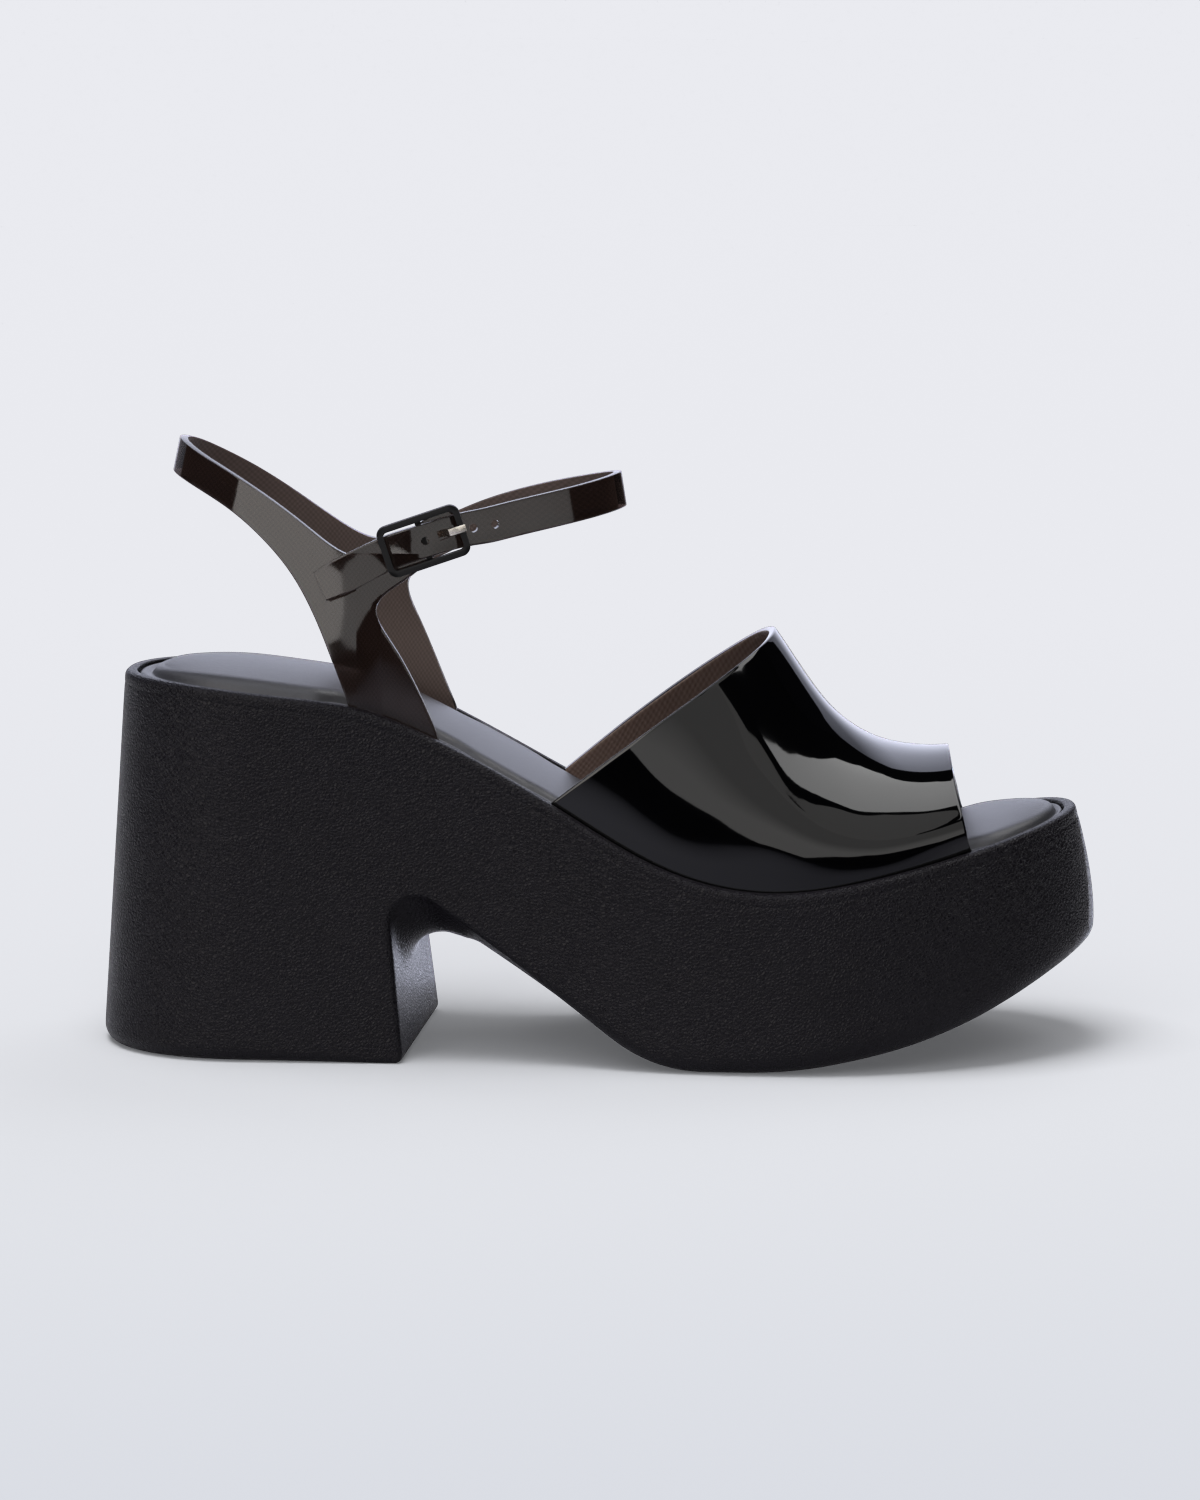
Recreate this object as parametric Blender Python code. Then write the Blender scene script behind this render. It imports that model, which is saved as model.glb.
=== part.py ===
"""Right platform sandal with a block heel, a glossy toe band and a buckled ankle sling.

Lengths below are millimetres. X runs from heel to toe, -Y is the outer (buckle) side, Z is up,
and the floor is Z = 0 under the heel and the ball.
"""
from collections import namedtuple
from math import asin, cos, hypot, pi, radians, sin, tan

import bmesh
import bpy
import numpy as np
from mathutils import Matrix, Vector

MM = 0.001
OUTER, INNER = -1, 1

# Driving sizes of the whole shoe
HEEL_BACK = -123.8
TOE_TIP = 123.2
RIM_BACK_LEAN = 6.6
RIM_TOE_LEAN = 5.7
TOE_LEAN_CURVE = 1.6
WALL = 2.0
GAP = 0.3

# Rim, tray and edges of the platform
LIP_WIDTH = 3.0
LIP_ROUND = 1.6
LIP_INNER_ROUND = 0.5
TRAY_DEPTH = 5.2
BREAST_SKEW = 0.055
BREAST_X = -46.0
BREAST_SPREAD = 14.0

# Plan of the sole on the floor: half widths from a middle line that bends inwards at the toe, and
# how much narrower the rim is
HEEL_CAP_FROM = -85.0
TOE_CAP_FROM = 45.0
HEEL_SQUARENESS = 2.2
TOE_SQUARENESS = {OUTER: 2.0, INNER: 2.3}
TOE_INSWING = 4.0
OUTLINE_STEP = 0.004

Plan = namedtuple("Plan", "x outer inner draft")
PLAN = [
    Plan(-124, 34.8, 34.8, 2.6),
    Plan(-85, 34.8, 34.6, 2.6),
    Plan(-60, 34.6, 32.8, 2.4),
    Plan(-40, 34.4, 29.2, 2.0),
    Plan(-20, 35.6, 27.2, 1.6),
    Plan(0, 39.0, 30.2, 1.3),
    Plan(20, 42.7, 37.2, 1.1),
    Plan(45, 45.5, 42.2, 1.0),
    Plan(124, 45.5, 41.0, 1.0),
]

# Height of the rim along the shoe
Rim = namedtuple("Rim", "x z")
RIM = [
    Rim(-124, 92.8),
    Rim(-100, 91.6),
    Rim(-75, 89.0),
    Rim(-56, 86.2),
    Rim(-37, 78.6),
    Rim(-10, 64.0),
    Rim(15, 50.2),
    Rim(41, 44.2),
    Rim(70, 47.7),
    Rim(103, 55.7),
    Rim(124, 61.4),
]

# Underside from heel to toe: corners of the side edge and of the keel, their rounds, and the rim above
Corner = namedtuple("Corner", "edge_x edge_z edge_round keel_x keel_z keel_round rim_x legs")
UNDERSIDE = [
    Corner(-123.8, 0.0, 0, -123.8, 0.0, 0, -117.2, 14),
    Corner(-44.2, 0.0, 2, -44.2, 0.0, 2, -72.0, 2),
    Corner(-49.4, 48.0, 6, -47.7, 30.0, 9, -48.0, 2),
    Corner(-30.0, 33.3, 30, -29.0, 27.0, 14, -22.0, 7),
    Corner(14.0, 0.0, 36, 12.5, 0.0, 36, 14.0, 3),
    Corner(48.0, 0.0, 130, 48.0, 0.0, 130, 48.0, 3),
    Corner(86.0, 6.9, 140, 86.0, 6.9, 140, 84.0, 10),
    Corner(123.2, 25.4, 0, 123.2, 25.4, 0, 117.5, 0),
]
CORNER_PIECES = 4
CORNER_SHARE = 0.12
KEEL_FLATNESS = 3

# Round of the edge between wall and underside
Edge = namedtuple("Edge", "x round")
EDGE = [
    Edge(-124, 4.0),
    Edge(-85, 4.2),
    Edge(-60, 2.6),
    Edge(-46, 1.6),
    Edge(-30, 1.8),
    Edge(0, 3.4),
    Edge(40, 5.6),
    Edge(90, 6.4),
    Edge(124, 6.4),
]

# Padded footbed: rise of its crown above the rim along the shoe
Crown = namedtuple("Crown", "x rise")
CROWN = [
    Crown(-120, 1.8),
    Crown(-90, 3.6),
    Crown(-60, 2.8),
    Crown(-30, 1.7),
    Crown(0, 1.6),
    Crown(60, 1.8),
    Crown(100, 2.9),
    Crown(120, 2.4),
]
FOOTBED_STATIONS = 52
FLANGE_DROP = 0.8
FLANGE_WIDTH = 3.4
FLANGE_EDGE = 0.5
CROWN_SPREAD = 34.0

# Pad's shoulder: how far in from the flange, and share of the way up to the crown
Shoulder = namedtuple("Shoulder", "inset up")
SHOULDER = [Shoulder(0.0, 0.0), Shoulder(0.9, 0.45), Shoulder(3.0, 0.75)]
QUARTER_POCKET = (-65.0, -31.0)
VAMP_POCKET = (-16.0, 97.0)
POCKET_EASE = 5.0

# Toe band: crest of the last, throat cut and toe opening
Crest = namedtuple("Crest", "x z")
CREST = [
    Crest(-14, 147.0),
    Crest(5, 136.0),
    Crest(25, 119.6),
    Crest(42, 101.8),
    Crest(48.6, 91.9),
    Crest(54.5, 83.9),
    Crest(61, 78.1),
    Crest(68.4, 74.4),
    Crest(76, 72.9),
    Crest(83, 72.6),
    Crest(92, 73.6),
]
CREST_SIDE_SHIFT = 2.0
SECTION_SQUARENESS = 2.1
THROAT_BASE_X = -10.0
THROAT_CREST_X = 42.0
THROAT_BOW = 1.0
MOUTH_BASE_X = 90.6
MOUTH_CREST_X = 86.0
MOUTH_CURVE = 0.7
VAMP_ROOT = 4.4
SLOT_SPOTS = 241
SLOT_FROM, SLOT_TO = 0.02, 0.98
VAMP_LENGTH_PIECES = 14
VAMP_HALF_PIECES = 11

# Ankle form that the sling lies on, in plan an egg round the leg
ANKLE_X = -55.0
ANKLE_HALF_WIDTH = 28.4
HEEL_REACH, HEEL_LEVEL, HEEL_LEAN = 48.7, 145.0, 0.22
SHIN_REACH, SHIN_LEVEL, SHIN_LEAN = 60.6, 137.0, 0.25
STRAP_LEAN = 0.14
SLING_ROOT = 4.4
COLLAR_RISE = 3.0
COLLAR_SHARE = 0.3
ROOT_BLEND = 18.0

# Heel strap and quarter from the rim to the back: turn round the ankle towards the heel, and height.
# The outer front edge is cut back further, and the inner half lies lower
Band = namedtuple("Band", "rear_turn rear_z front_turn front_z outer_cut inner_drop")
HEEL_BAND = [
    Band(3.8, 87.0, -13.7, 78.6, 0.0, 0.0),
    Band(7.2, 96.3, -10.1, 91.0, 0.0, 0.0),
    Band(10.3, 104.3, -6.7, 101.2, 0.6, 0.0),
    Band(13.4, 110.6, -2.5, 111.2, 2.6, 0.0),
    Band(16.7, 116.0, 0.0, 116.4, 1.8, 0.6),
    Band(21.3, 121.5, 3.6, 121.8, 0.6, 1.6),
    Band(28.0, 127.0, 15.3, 130.0, 0.0, 2.9),
    Band(34.8, 131.2, 27.4, 136.8, 0.0, 2.5),
    Band(42.8, 134.7, 40.5, 142.0, 0.0, 1.5),
    Band(56.0, 138.2, 57.0, 146.2, 0.0, 0.6),
    Band(72.5, 140.7, 73.0, 148.8, 0.0, 0.1),
    Band(90.0, 141.4, 90.0, 149.7, 0.0, 0.0),
]
BRANCH_ROWS = (3, 4, 5)
ROOT_ROWS = 2
BAND_PIECES = 4

# Straps: turn round the ankle towards the toe, height of the middle line, slope, half width, stand-off
Strap = namedtuple("Strap", "turn z slope half_width stand_off")
INSTEP_INNER = [
    Strap(7.0, 119.2, 29, 4.2, 0.0),
    Strap(16.0, 124.2, 27, 4.2, 0.0),
    Strap(26.0, 128.6, 20, 4.2, 0.0),
    Strap(42.0, 132.6, 13, 4.2, 0.0),
    Strap(58.0, 134.9, 11, 4.2, 0.0),
    Strap(74.0, 136.5, 8, 4.2, 0.0),
    Strap(90.0, 137.1, 0, 4.2, 0.0),
]
INSTEP_OUTER = [
    Strap(74.0, 136.5, -8, 4.2, 0.0),
    Strap(58.0, 135.0, -11, 4.2, 0.0),
    Strap(42.0, 132.9, -12, 4.2, 0.0),
    Strap(33.0, 131.4, -12, 4.2, 0.4),
    Strap(27.0, 130.2, -13, 4.2, 1.6),
    Strap(22.3, 129.7, -16, 4.1, 2.3),
    Strap(17.4, 128.6, -18, 4.0, 3.3),
    Strap(12.9, 127.1, -18.3, 4.0, 4.1),
    Strap(8.4, 125.5, -18.3, 4.0, 3.3),
    Strap(4.4, 123.8, -21, 4.1, 2.4),
    Strap(-1.5, 120.3, -25, 4.3, 2.4),
    Strap(-6.5, 117.9, -25, 4.4, 2.4),
    Strap(-10.5, 115.8, -25, 3.7, 2.4),
]
BUCKLE_TAB = [
    Strap(6.4, 120.2, 38, 4.2, 0.0),
    Strap(12.0, 125.4, 39, 4.2, 0.0),
    Strap(17.2, 130.0, 37, 4.2, 0.0),
    Strap(20.8, 132.6, 34, 3.0, 0.0),
]

# Buckle: frame, sunk middle bar and prong, in the buckle's own plane
BUCKLE_TURN, BUCKLE_Z, BUCKLE_TILT = 12.9, 127.1, 18.3
FRAME_LENGTH, FRAME_HEIGHT, FRAME_BAR, FRAME_DEPTH = 20.6, 12.6, 1.8, 1.8
FRAME_CORNER = 2.4
FRAME_INNER_CORNER = 1.1
FRAME_EDGE = 0.35
FRAME_STAND_OFF = 4.0
BAR_STAND_OFF, BAR_DEPTH, BAR_WIDTH = 1.4, 0.8, 1.4
BAR_SEAT, BAR_END_INSET = 0.6, 0.3
PRONG_WIDTH, PRONG_DEPTH = 1.8, 0.8
PRONG_HOLE_FROM, PRONG_HOLE_TO, PRONG_HOLE_WIDTH = 3.7, 7.9, 2.6
PRONG_HOLE_OUT, PRONG_HOLE_DEPTH = 4.2, 5.0

Step = namedtuple("Step", "along out")
PRONG_PATH = [
    Step(1.1, 1.75),
    Step(4.2, 1.65),
    Step(5.5, 3.2),
    Step(6.8, 6.3),
    Step(7.9, 6.6),
    Step(10.7, 6.6),
]

# Mesh work in metres: points closer than this are one, slivers thinner than this go, and the angle that
# parts smooth faces
WELD = 0.00001
SLIVER = 0.000005
SHARP_ANGLE = radians(40)

Finish = namedtuple("Finish", "colour roughness metallic")
FINISHES = {
    "pebbled_foam": Finish((0.013, 0.012, 0.014), 0.55, 0.0),
    "padded_lining": Finish((0.020, 0.020, 0.023), 0.65, 0.0),
    "gloss_black_plastic": Finish((0.006, 0.006, 0.006), 0.08, 0.0),
    "smoky_plastic": Finish((0.030, 0.024, 0.020), 0.15, 0.0),
    "matt_black_metal": Finish((0.012, 0.012, 0.013), 0.45, 0.6),
    "pale_metal": Finish((0.72, 0.68, 0.60), 0.28, 1.0),
}


def batten(table, column):
    """A drafting batten bent through a table's rows: gives the column's smooth value anywhere."""
    place = np.array([row[0] for row in table], dtype=float)
    value = np.array([getattr(row, column) for row in table], dtype=float)
    step = np.diff(place)
    slope = np.diff(value) / step
    count = len(place)
    system = np.eye(count)
    load = np.zeros(count)
    for row in range(1, count - 1):
        system[row, row - 1:row + 2] = step[row - 1], 2 * (step[row - 1] + step[row]), step[row]
        load[row] = 6 * (slope[row] - slope[row - 1])
    bend = np.linalg.solve(system, load)

    def at(x):
        x = min(max(x, place[0]), place[-1])
        low = min(int(np.searchsorted(place, x, side="right")) - 1, count - 2)
        left, right, span = place[low + 1] - x, x - place[low], step[low]
        curved = (bend[low] * left ** 3 + bend[low + 1] * right ** 3) / (6 * span)
        from_low = (value[low] / span - bend[low] * span / 6) * left
        from_high = (value[low + 1] / span - bend[low + 1] * span / 6) * right
        return curved + from_low + from_high

    return at


RIM_Z = batten(RIM, "z")
HALF_PLAN = {OUTER: batten(PLAN, "outer"), INNER: batten(PLAN, "inner")}
DRAFT = batten(PLAN, "draft")
EDGE_ROUND = batten(EDGE, "round")
CROWN_RISE = batten(CROWN, "rise")
CREST_Z = batten(CREST, "z")


def ease(value):
    """Smooth step from 0 to 1."""
    value = min(max(value, 0.0), 1.0)
    return value * value * (3 - 2 * value)


def mix(first, second, share):
    return first + (second - first) * share


# Platform sole


def back_x(level):
    """Back of the sole at a level: 0 on the floor, 1 at the rim."""
    return HEEL_BACK + RIM_BACK_LEAN * level


def toe_x(level):
    """Tip of the toe at a level: upright in its lower half, leaning back above."""
    return TOE_TIP - RIM_TOE_LEAN * max(0.0, 2 * level - 1) ** TOE_LEAN_CURVE


def station(x, level):
    """Share of the sole's length at x: 0 at the back, 1 at the toe."""
    share = (x - back_x(level)) / (toe_x(level) - back_x(level))
    return round(min(max(share, 0.0), 1.0), 6)


def cap(reach, squareness):
    """Share of the width left in a rounded end, 1 where it begins and 0 at its tip."""
    reach = min(max(reach, 0.0), 1.0)
    return (1 - reach ** squareness) ** (1 / squareness)


def outline(side, share, level):
    """Plan point of the sole's wall on one side, at a share of its length and a level."""
    share = min(max(share, 0.0), 1.0)
    floor_x = mix(HEEL_BACK, TOE_TIP, share)
    heel_reach = (HEEL_CAP_FROM - floor_x) / (HEEL_CAP_FROM - HEEL_BACK)
    toe_reach = (floor_x - TOE_CAP_FROM) / (TOE_TIP - TOE_CAP_FROM)
    half = HALF_PLAN[side](floor_x) - DRAFT(floor_x) * level
    half *= cap(heel_reach, HEEL_SQUARENESS) * cap(toe_reach, TOE_SQUARENESS[side])
    middle = TOE_INSWING * ease(floor_x / TOE_TIP)
    return mix(back_x(level), toe_x(level), share), middle + side * half


def inset_outline(side, share, level, inset):
    """The same plan point moved inwards, square to the outline."""
    x, y = outline(side, share, level)
    if share <= 0 or share >= 1:
        return x + (inset if share <= 0 else -inset), y
    reach = min(OUTLINE_STEP, share / 2, (1 - share) / 2)
    x0, y0 = outline(side, share - reach, level)
    x1, y1 = outline(side, share + reach, level)
    length = hypot(x1 - x0, y1 - y0)
    return x + side * (y1 - y0) / length * inset, y - side * (x1 - x0) / length * inset


def skew(x, y, z):
    """The heel breast stands a little further forward on the inner side."""
    near = np.exp(-((x - BREAST_X) / BREAST_SPREAD) ** 2)
    return x + BREAST_SKEW * y * near * (1 - z / RIM_Z(x))


def sole_point(side, x, z, inset=0.0):
    """Point of the sole's wall at x and z in side view, moved inwards by an inset."""
    level = min(max(z / RIM_Z(x), 0.0), 1.0)
    px, py = inset_outline(side, station(x, level), level, inset)
    return Vector((skew(px, py, z), py, z))


def rim_point(side, rim_x, inset, drop):
    """Point on or inside the lip: moved inwards from the rim and dropped below it."""
    x, y = inset_outline(side, station(rim_x, 1.0), 1.0, inset)
    return Vector((x, y, RIM_Z(x) - drop))


def round_corner(before, corner, after, radius, pieces):
    """Points of the arc that rounds a corner."""
    into = (before - corner).normalized()
    out = (after - corner).normalized()
    half = into.angle(out) / 2
    middle = corner + (into + out).normalized() * radius / sin(half)
    start = corner + into * radius / tan(half) - middle
    turn = pi - 2 * half
    sense = 1 if (into.x * out.y - into.y * out.x) < 0 else -1
    spots = []
    for piece in range(pieces + 1):
        angle = sense * turn * piece / pieces
        spots.append(middle + Vector((start.x * cos(angle) - start.y * sin(angle),
                                      start.x * sin(angle) + start.y * cos(angle))))
    return spots


def underside_profile(x_column, z_column, round_column):
    """Side view of the underside: its points, and how far each has come along the table's rows."""
    spots = [Vector((getattr(row, x_column), getattr(row, z_column))) for row in UNDERSIDE]
    last = len(spots) - 1
    points, progress = [spots[0]], [0.0]
    for row in range(last):
        if row + 1 < last:
            arc = round_corner(spots[row], spots[row + 1], spots[row + 2],
                               getattr(UNDERSIDE[row + 1], round_column), CORNER_PIECES)
        else:
            arc = [spots[last]]
        start, begin = points[-1], progress[-1]
        finish = row + 1 - (CORNER_SHARE if row + 1 < last else 0)
        legs = UNDERSIDE[row].legs
        for leg in range(1, legs):
            share = leg / legs
            if row == 0:
                share = 1 - cos(share * pi / 2)
            if row == last - 1:
                share = sin(share * pi / 2)
            points.append(start.lerp(arc[0], share))
            progress.append(mix(begin, finish, share))
        for piece, spot in enumerate(arc):
            points.append(spot)
            progress.append(finish + 2 * CORNER_SHARE * piece / CORNER_PIECES)
    return points, progress


def inward_normals(points):
    """Directions square to the underside, into the sole."""
    normals = []
    for index in range(len(points)):
        before = points[max(index - 1, 0)]
        after = points[min(index + 1, len(points) - 1)]
        along = (after - before).normalized()
        normals.append(Vector((-along.y, along.x)))
    normals[0] = Vector((0, 1))
    normals[-1] = Vector((0, 1))
    return normals


def sole_side(side, foot, normal, rim_x, wall_pieces=4, round_pieces=3):
    """One side of a rib, from the tray's edge over the lip and down the wall to the underside."""
    half_pi = pi / 2
    spots = [rim_point(side, rim_x, LIP_WIDTH, TRAY_DEPTH)]
    spots.append(rim_point(side, rim_x, LIP_WIDTH, LIP_INNER_ROUND))
    spots.append(rim_point(side, rim_x, LIP_WIDTH - LIP_INNER_ROUND, 0.0))
    for piece in range(round_pieces + 1):
        angle = half_pi * piece / round_pieces
        spots.append(rim_point(side, rim_x, LIP_ROUND * (1 - sin(angle)), LIP_ROUND * (1 - cos(angle))))
    top = Vector((rim_x, RIM_Z(rim_x) - LIP_ROUND))
    edge_round = EDGE_ROUND(foot.x)
    low = foot + normal * edge_round
    top_share = station(top.x, 1.0)
    low_level = low.y / RIM_Z(low.x)
    low_share = station(low.x, low_level)
    for piece in range(1, wall_pieces):
        down = piece / wall_pieces
        level = mix(1.0, low_level, down)
        share = mix(top_share, low_share, down)
        z = mix(top.y, low.y, down)
        x, y = outline(side, share, level)
        spots.append(Vector((skew(x, y, z), y, z)))
    for piece in range(round_pieces + 1):
        angle = half_pi * (1 - piece / round_pieces)
        spot = foot + normal * edge_round * (1 - cos(angle))
        spots.append(sole_point(side, spot.x, spot.y, edge_round * (1 - sin(angle))))
    return spots


def sole_ribs(tray_pieces=4, bottom_pieces=6):
    """Closed ribs of the sole from the back of the heel to the toe."""
    edge, progress = underside_profile("edge_x", "edge_z", "edge_round")
    keel, _ = underside_profile("keel_x", "keel_z", "keel_round")
    rim_rows = [row.rim_x for row in UNDERSIDE]
    normals = inward_normals(edge)
    ribs = []
    for foot, heart, normal, rows_done in zip(edge, keel, normals, progress):
        rim_x = float(np.interp(rows_done, range(len(rim_rows)), rim_rows))
        outer = sole_side(OUTER, foot, normal, rim_x)
        inner = sole_side(INNER, foot, normal, rim_x)
        rib = [inner[0].lerp(outer[0], piece / tray_pieces) for piece in range(tray_pieces)] + outer
        for piece in range(1, bottom_pieces):
            across = piece / bottom_pieces
            sag = 1 - abs(2 * across - 1) ** KEEL_FLATNESS
            spot = outer[-1].lerp(inner[-1], across)
            spot += Vector((heart.x - foot.x, 0, heart.y - foot.y)) * sag
            rib.append(spot)
        rib += reversed(inner[1:])
        ribs.append(rib)
    return ribs


def loft(mesh, ribs):
    """Skins closed ribs of equal length; ends that close to a line are welded."""
    rows = [[mesh.verts.new(spot * MM) for spot in rib] for rib in ribs]
    count = len(rows[0])
    for first, second in zip(rows, rows[1:]):
        for spot in range(count):
            after = (spot + 1) % count
            mesh.faces.new((first[spot], first[after], second[after], second[spot]))
    bmesh.ops.remove_doubles(mesh, verts=mesh.verts, dist=WELD)
    bmesh.ops.dissolve_degenerate(mesh, edges=mesh.edges, dist=SLIVER)
    bmesh.ops.recalc_face_normals(mesh, faces=mesh.faces)


# Footbed


def pocket(x, reach):
    """Share of the pocket's depth that a strap's root takes from the footbed's edge at x."""
    return ease((x - reach[0]) / POCKET_EASE + 0.5) * ease((reach[1] - x) / POCKET_EASE + 0.5)


def footbed_side(side, share):
    """One side of a footbed section, from its underside up over the flange to the pad."""
    x = outline(side, share, 1.0)[0]
    edge = LIP_WIDTH + GAP + (WALL + GAP) * max(pocket(x, QUARTER_POCKET), pocket(x, VAMP_POCKET))
    bottom = GAP - TRAY_DEPTH
    profile = [
        (edge + FLANGE_EDGE, bottom),
        (edge, bottom + FLANGE_EDGE),
        (edge, -FLANGE_DROP - FLANGE_EDGE),
        (edge + FLANGE_EDGE, -FLANGE_DROP),
    ]
    for step in SHOULDER:
        profile.append((edge + FLANGE_WIDTH + step.inset, mix(-FLANGE_DROP, CROWN_RISE(x), step.up)))
    spots = []
    for inset, lift in profile:
        px, py = inset_outline(side, share, 1.0, inset)
        spots.append(Vector((px, py, RIM_Z(px) + lift)))
    return spots


def footbed_ribs(across_pieces=4):
    ribs = []
    for row in range(FOOTBED_STATIONS + 1):
        share = (1 - cos(pi * row / FOOTBED_STATIONS)) / 2
        outer = footbed_side(OUTER, share)
        inner = footbed_side(INNER, share)
        fullness = ease((inner[-1].y - outer[-1].y) / CROWN_SPREAD)
        rib = list(outer)
        for piece in range(1, across_pieces):
            across = piece / across_pieces
            spot = outer[-1].lerp(inner[-1], across)
            crown = RIM_Z(spot.x) + CROWN_RISE(spot.x)
            spot.z = mix(spot.z, crown, fullness * (1 - (2 * across - 1) ** 2))
            rib.append(spot)
        rib += reversed(inner)
        rib.append(inner[0].lerp(outer[0], 0.5))
        ribs.append(rib)
    return ribs


# Toe band


def slot_line(side):
    """Plan line of a wall's middle that stands in the slot between lip and footbed."""
    middle = LIP_WIDTH + GAP + WALL / 2
    shares = np.linspace(SLOT_FROM, SLOT_TO, SLOT_SPOTS)
    spots = [inset_outline(side, share, 1.0, middle) for share in shares]
    return [spot[0] for spot in spots], [spot[1] for spot in spots]


SLOT = {OUTER: slot_line(OUTER), INNER: slot_line(INNER)}


def slot_y(side, x):
    return float(np.interp(x, *SLOT[side]))


def last_point(side, x, angle):
    """Point of the last's forepart: a section at x, turned up from the slot to the crest."""
    base = RIM_Z(x)
    crest_y = CREST_SIDE_SHIFT
    power = 2 / SECTION_SQUARENESS
    y = mix(crest_y, slot_y(side, x), max(cos(angle), 0.0) ** power)
    return Vector((x, y, mix(base, CREST_Z(x), max(sin(angle), 0.0) ** power)))


def throat_angle(x, share_up):
    """Angle on the last where the throat's slightly bowed cut meets the section at x."""
    base, crest = RIM_Z(x), CREST_Z(x)
    chord = mix(RIM_Z(THROAT_BASE_X), CREST_Z(THROAT_CREST_X), share_up)
    bow = THROAT_BOW * 4 * share_up * (1 - share_up)
    height = min(max((chord + bow - base) / (crest - base), 0.0), 1.0)
    return asin(min(height ** (SECTION_SQUARENESS / 2), 1.0))


def vamp_point(side, along, up):
    """Middle of the toe band's wall: along from throat to toe, up from the slot to the crest."""
    throat_x = mix(THROAT_BASE_X, THROAT_CREST_X, up)
    mouth_x = mix(MOUTH_BASE_X, MOUTH_CREST_X, up ** MOUTH_CURVE)
    cut = throat_angle(throat_x, up)
    return last_point(side, mix(throat_x, mouth_x, along), mix(cut, asin(up), along))


def vamp_rows():
    """Rows of the toe band from the outer root over the crest to the inner root."""
    shares = np.linspace(0, 1, VAMP_LENGTH_PIECES + 1)
    rows = []
    for side in (OUTER, INNER):
        half = []
        base = [vamp_point(side, share, 0.0) for share in shares]
        half.append([spot - Vector((0, 0, VAMP_ROOT)) for spot in base])
        for turn in np.linspace(0, pi / 2, VAMP_HALF_PIECES + 1):
            half.append([vamp_point(side, share, sin(turn)) for share in shares])
        rows += half if side == OUTER else half[-2::-1]
    return rows


def skin(mesh, rows):
    grid = [[mesh.verts.new(spot * MM) for spot in row] for row in rows]
    for first, second in zip(grid, grid[1:]):
        for spot in range(len(first) - 1):
            mesh.faces.new((first[spot], first[spot + 1], second[spot + 1], second[spot]))
    return grid


# Ankle sling


def ankle_point(turn, z, stand_off=0.0):
    """Point of the ankle form: turn 0 is the outer side, 90 the shin, 180 the inner side, -90 the heel."""
    forward = sin(radians(turn))
    if forward >= 0:
        reach = SHIN_REACH + SHIN_LEAN * (SHIN_LEVEL - z)
    else:
        reach = HEEL_REACH + HEEL_LEAN * (HEEL_LEVEL - z)
    x = ANKLE_X + (reach + stand_off) * forward
    y = -(ANKLE_HALF_WIDTH + stand_off) * cos(radians(turn))
    return Vector((x, y, z))


def quarter_point(side, turn, z):
    """Point of the heel band: at its root it stands in the slot, higher up on the ankle form."""
    spot = ankle_point(-turn if side == OUTER else 180 + turn, z)
    free = ease((z - RIM_Z(spot.x) - COLLAR_RISE) / ROOT_BLEND)
    spot.y = mix(slot_y(side, spot.x), spot.y, free)
    return spot


def band_rows(side):
    """Rows of the heel band on one side, from the bottom of its root to the back of the heel."""
    rows = []
    for band in HEEL_BAND:
        row = []
        for piece in range(BAND_PIECES + 1):
            share = piece / BAND_PIECES
            front_turn = band.front_turn + (band.outer_cut if side == OUTER else 0.0)
            drop = band.inner_drop if side == INNER else 0.0
            row.append(quarter_point(side, mix(band.rear_turn, front_turn, share),
                                     mix(band.rear_z, band.front_z, share) - drop))
        rows.append(row)
    for spot in rows[0]:
        spot.z = RIM_Z(spot.x)
    root = [spot - Vector((0, 0, SLING_ROOT)) for spot in rows[0]]
    collar = [low.lerp(high, COLLAR_SHARE) for low, high in zip(rows[0], rows[1])]
    for spot in collar:
        spot.y = slot_y(side, spot.x)
    return [root, rows[0], collar] + rows[1:]


def strap_row(side, strap):
    """Three points across a strap: upper edge, middle line and lower edge."""
    middle_turn = strap.turn if side == OUTER else 180 - strap.turn
    middle = ankle_point(middle_turn, strap.z, strap.stand_off)
    ahead = ankle_point(middle_turn + 0.5, strap.z, strap.stand_off) - middle
    ahead.normalize()
    rise = radians(strap.slope if side == INNER else -strap.slope)
    forward = -ahead if side == INNER else ahead
    out = ahead.cross(Vector((0, 0, 1)))
    lean = STRAP_LEAN * max(sin(radians(middle_turn)), 0.0) ** 2
    across = Vector((0, 0, 1)) * cos(rise) - forward * sin(rise) - out * lean
    return [middle + across * strap.half_width, middle, middle - across * strap.half_width]


def build_sling(mesh):
    """Both halves of the heel band, the buckle tab and the long instep strap as one sheet."""
    outer_rows = band_rows(OUTER)
    inner_rows = band_rows(INNER)
    grid = skin(mesh, outer_rows + inner_rows[-2::-1])
    last = len(grid) - 1
    outer_root = [grid[row + ROOT_ROWS][-1] for row in reversed(BRANCH_ROWS)]
    inner_root = [grid[last - row - ROOT_ROWS][-1] for row in reversed(BRANCH_ROWS)]
    tab = [strap_row(INNER, strap) for strap in BUCKLE_TAB]
    tab = [[Vector((spot.x, -spot.y, spot.z)) for spot in row] for row in tab]
    instep = [strap_row(INNER, strap) for strap in INSTEP_INNER]
    instep += [strap_row(OUTER, strap) for strap in INSTEP_OUTER]
    for root, rows in ((outer_root, tab), (inner_root, instep)):
        before = root
        for row in rows:
            after = [mesh.verts.new(spot * MM) for spot in row]
            for spot in range(len(row) - 1):
                mesh.faces.new((before[spot], before[spot + 1], after[spot + 1], after[spot]))
            before = after
    bmesh.ops.recalc_face_normals(mesh, faces=mesh.faces)


# Buckle


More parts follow.
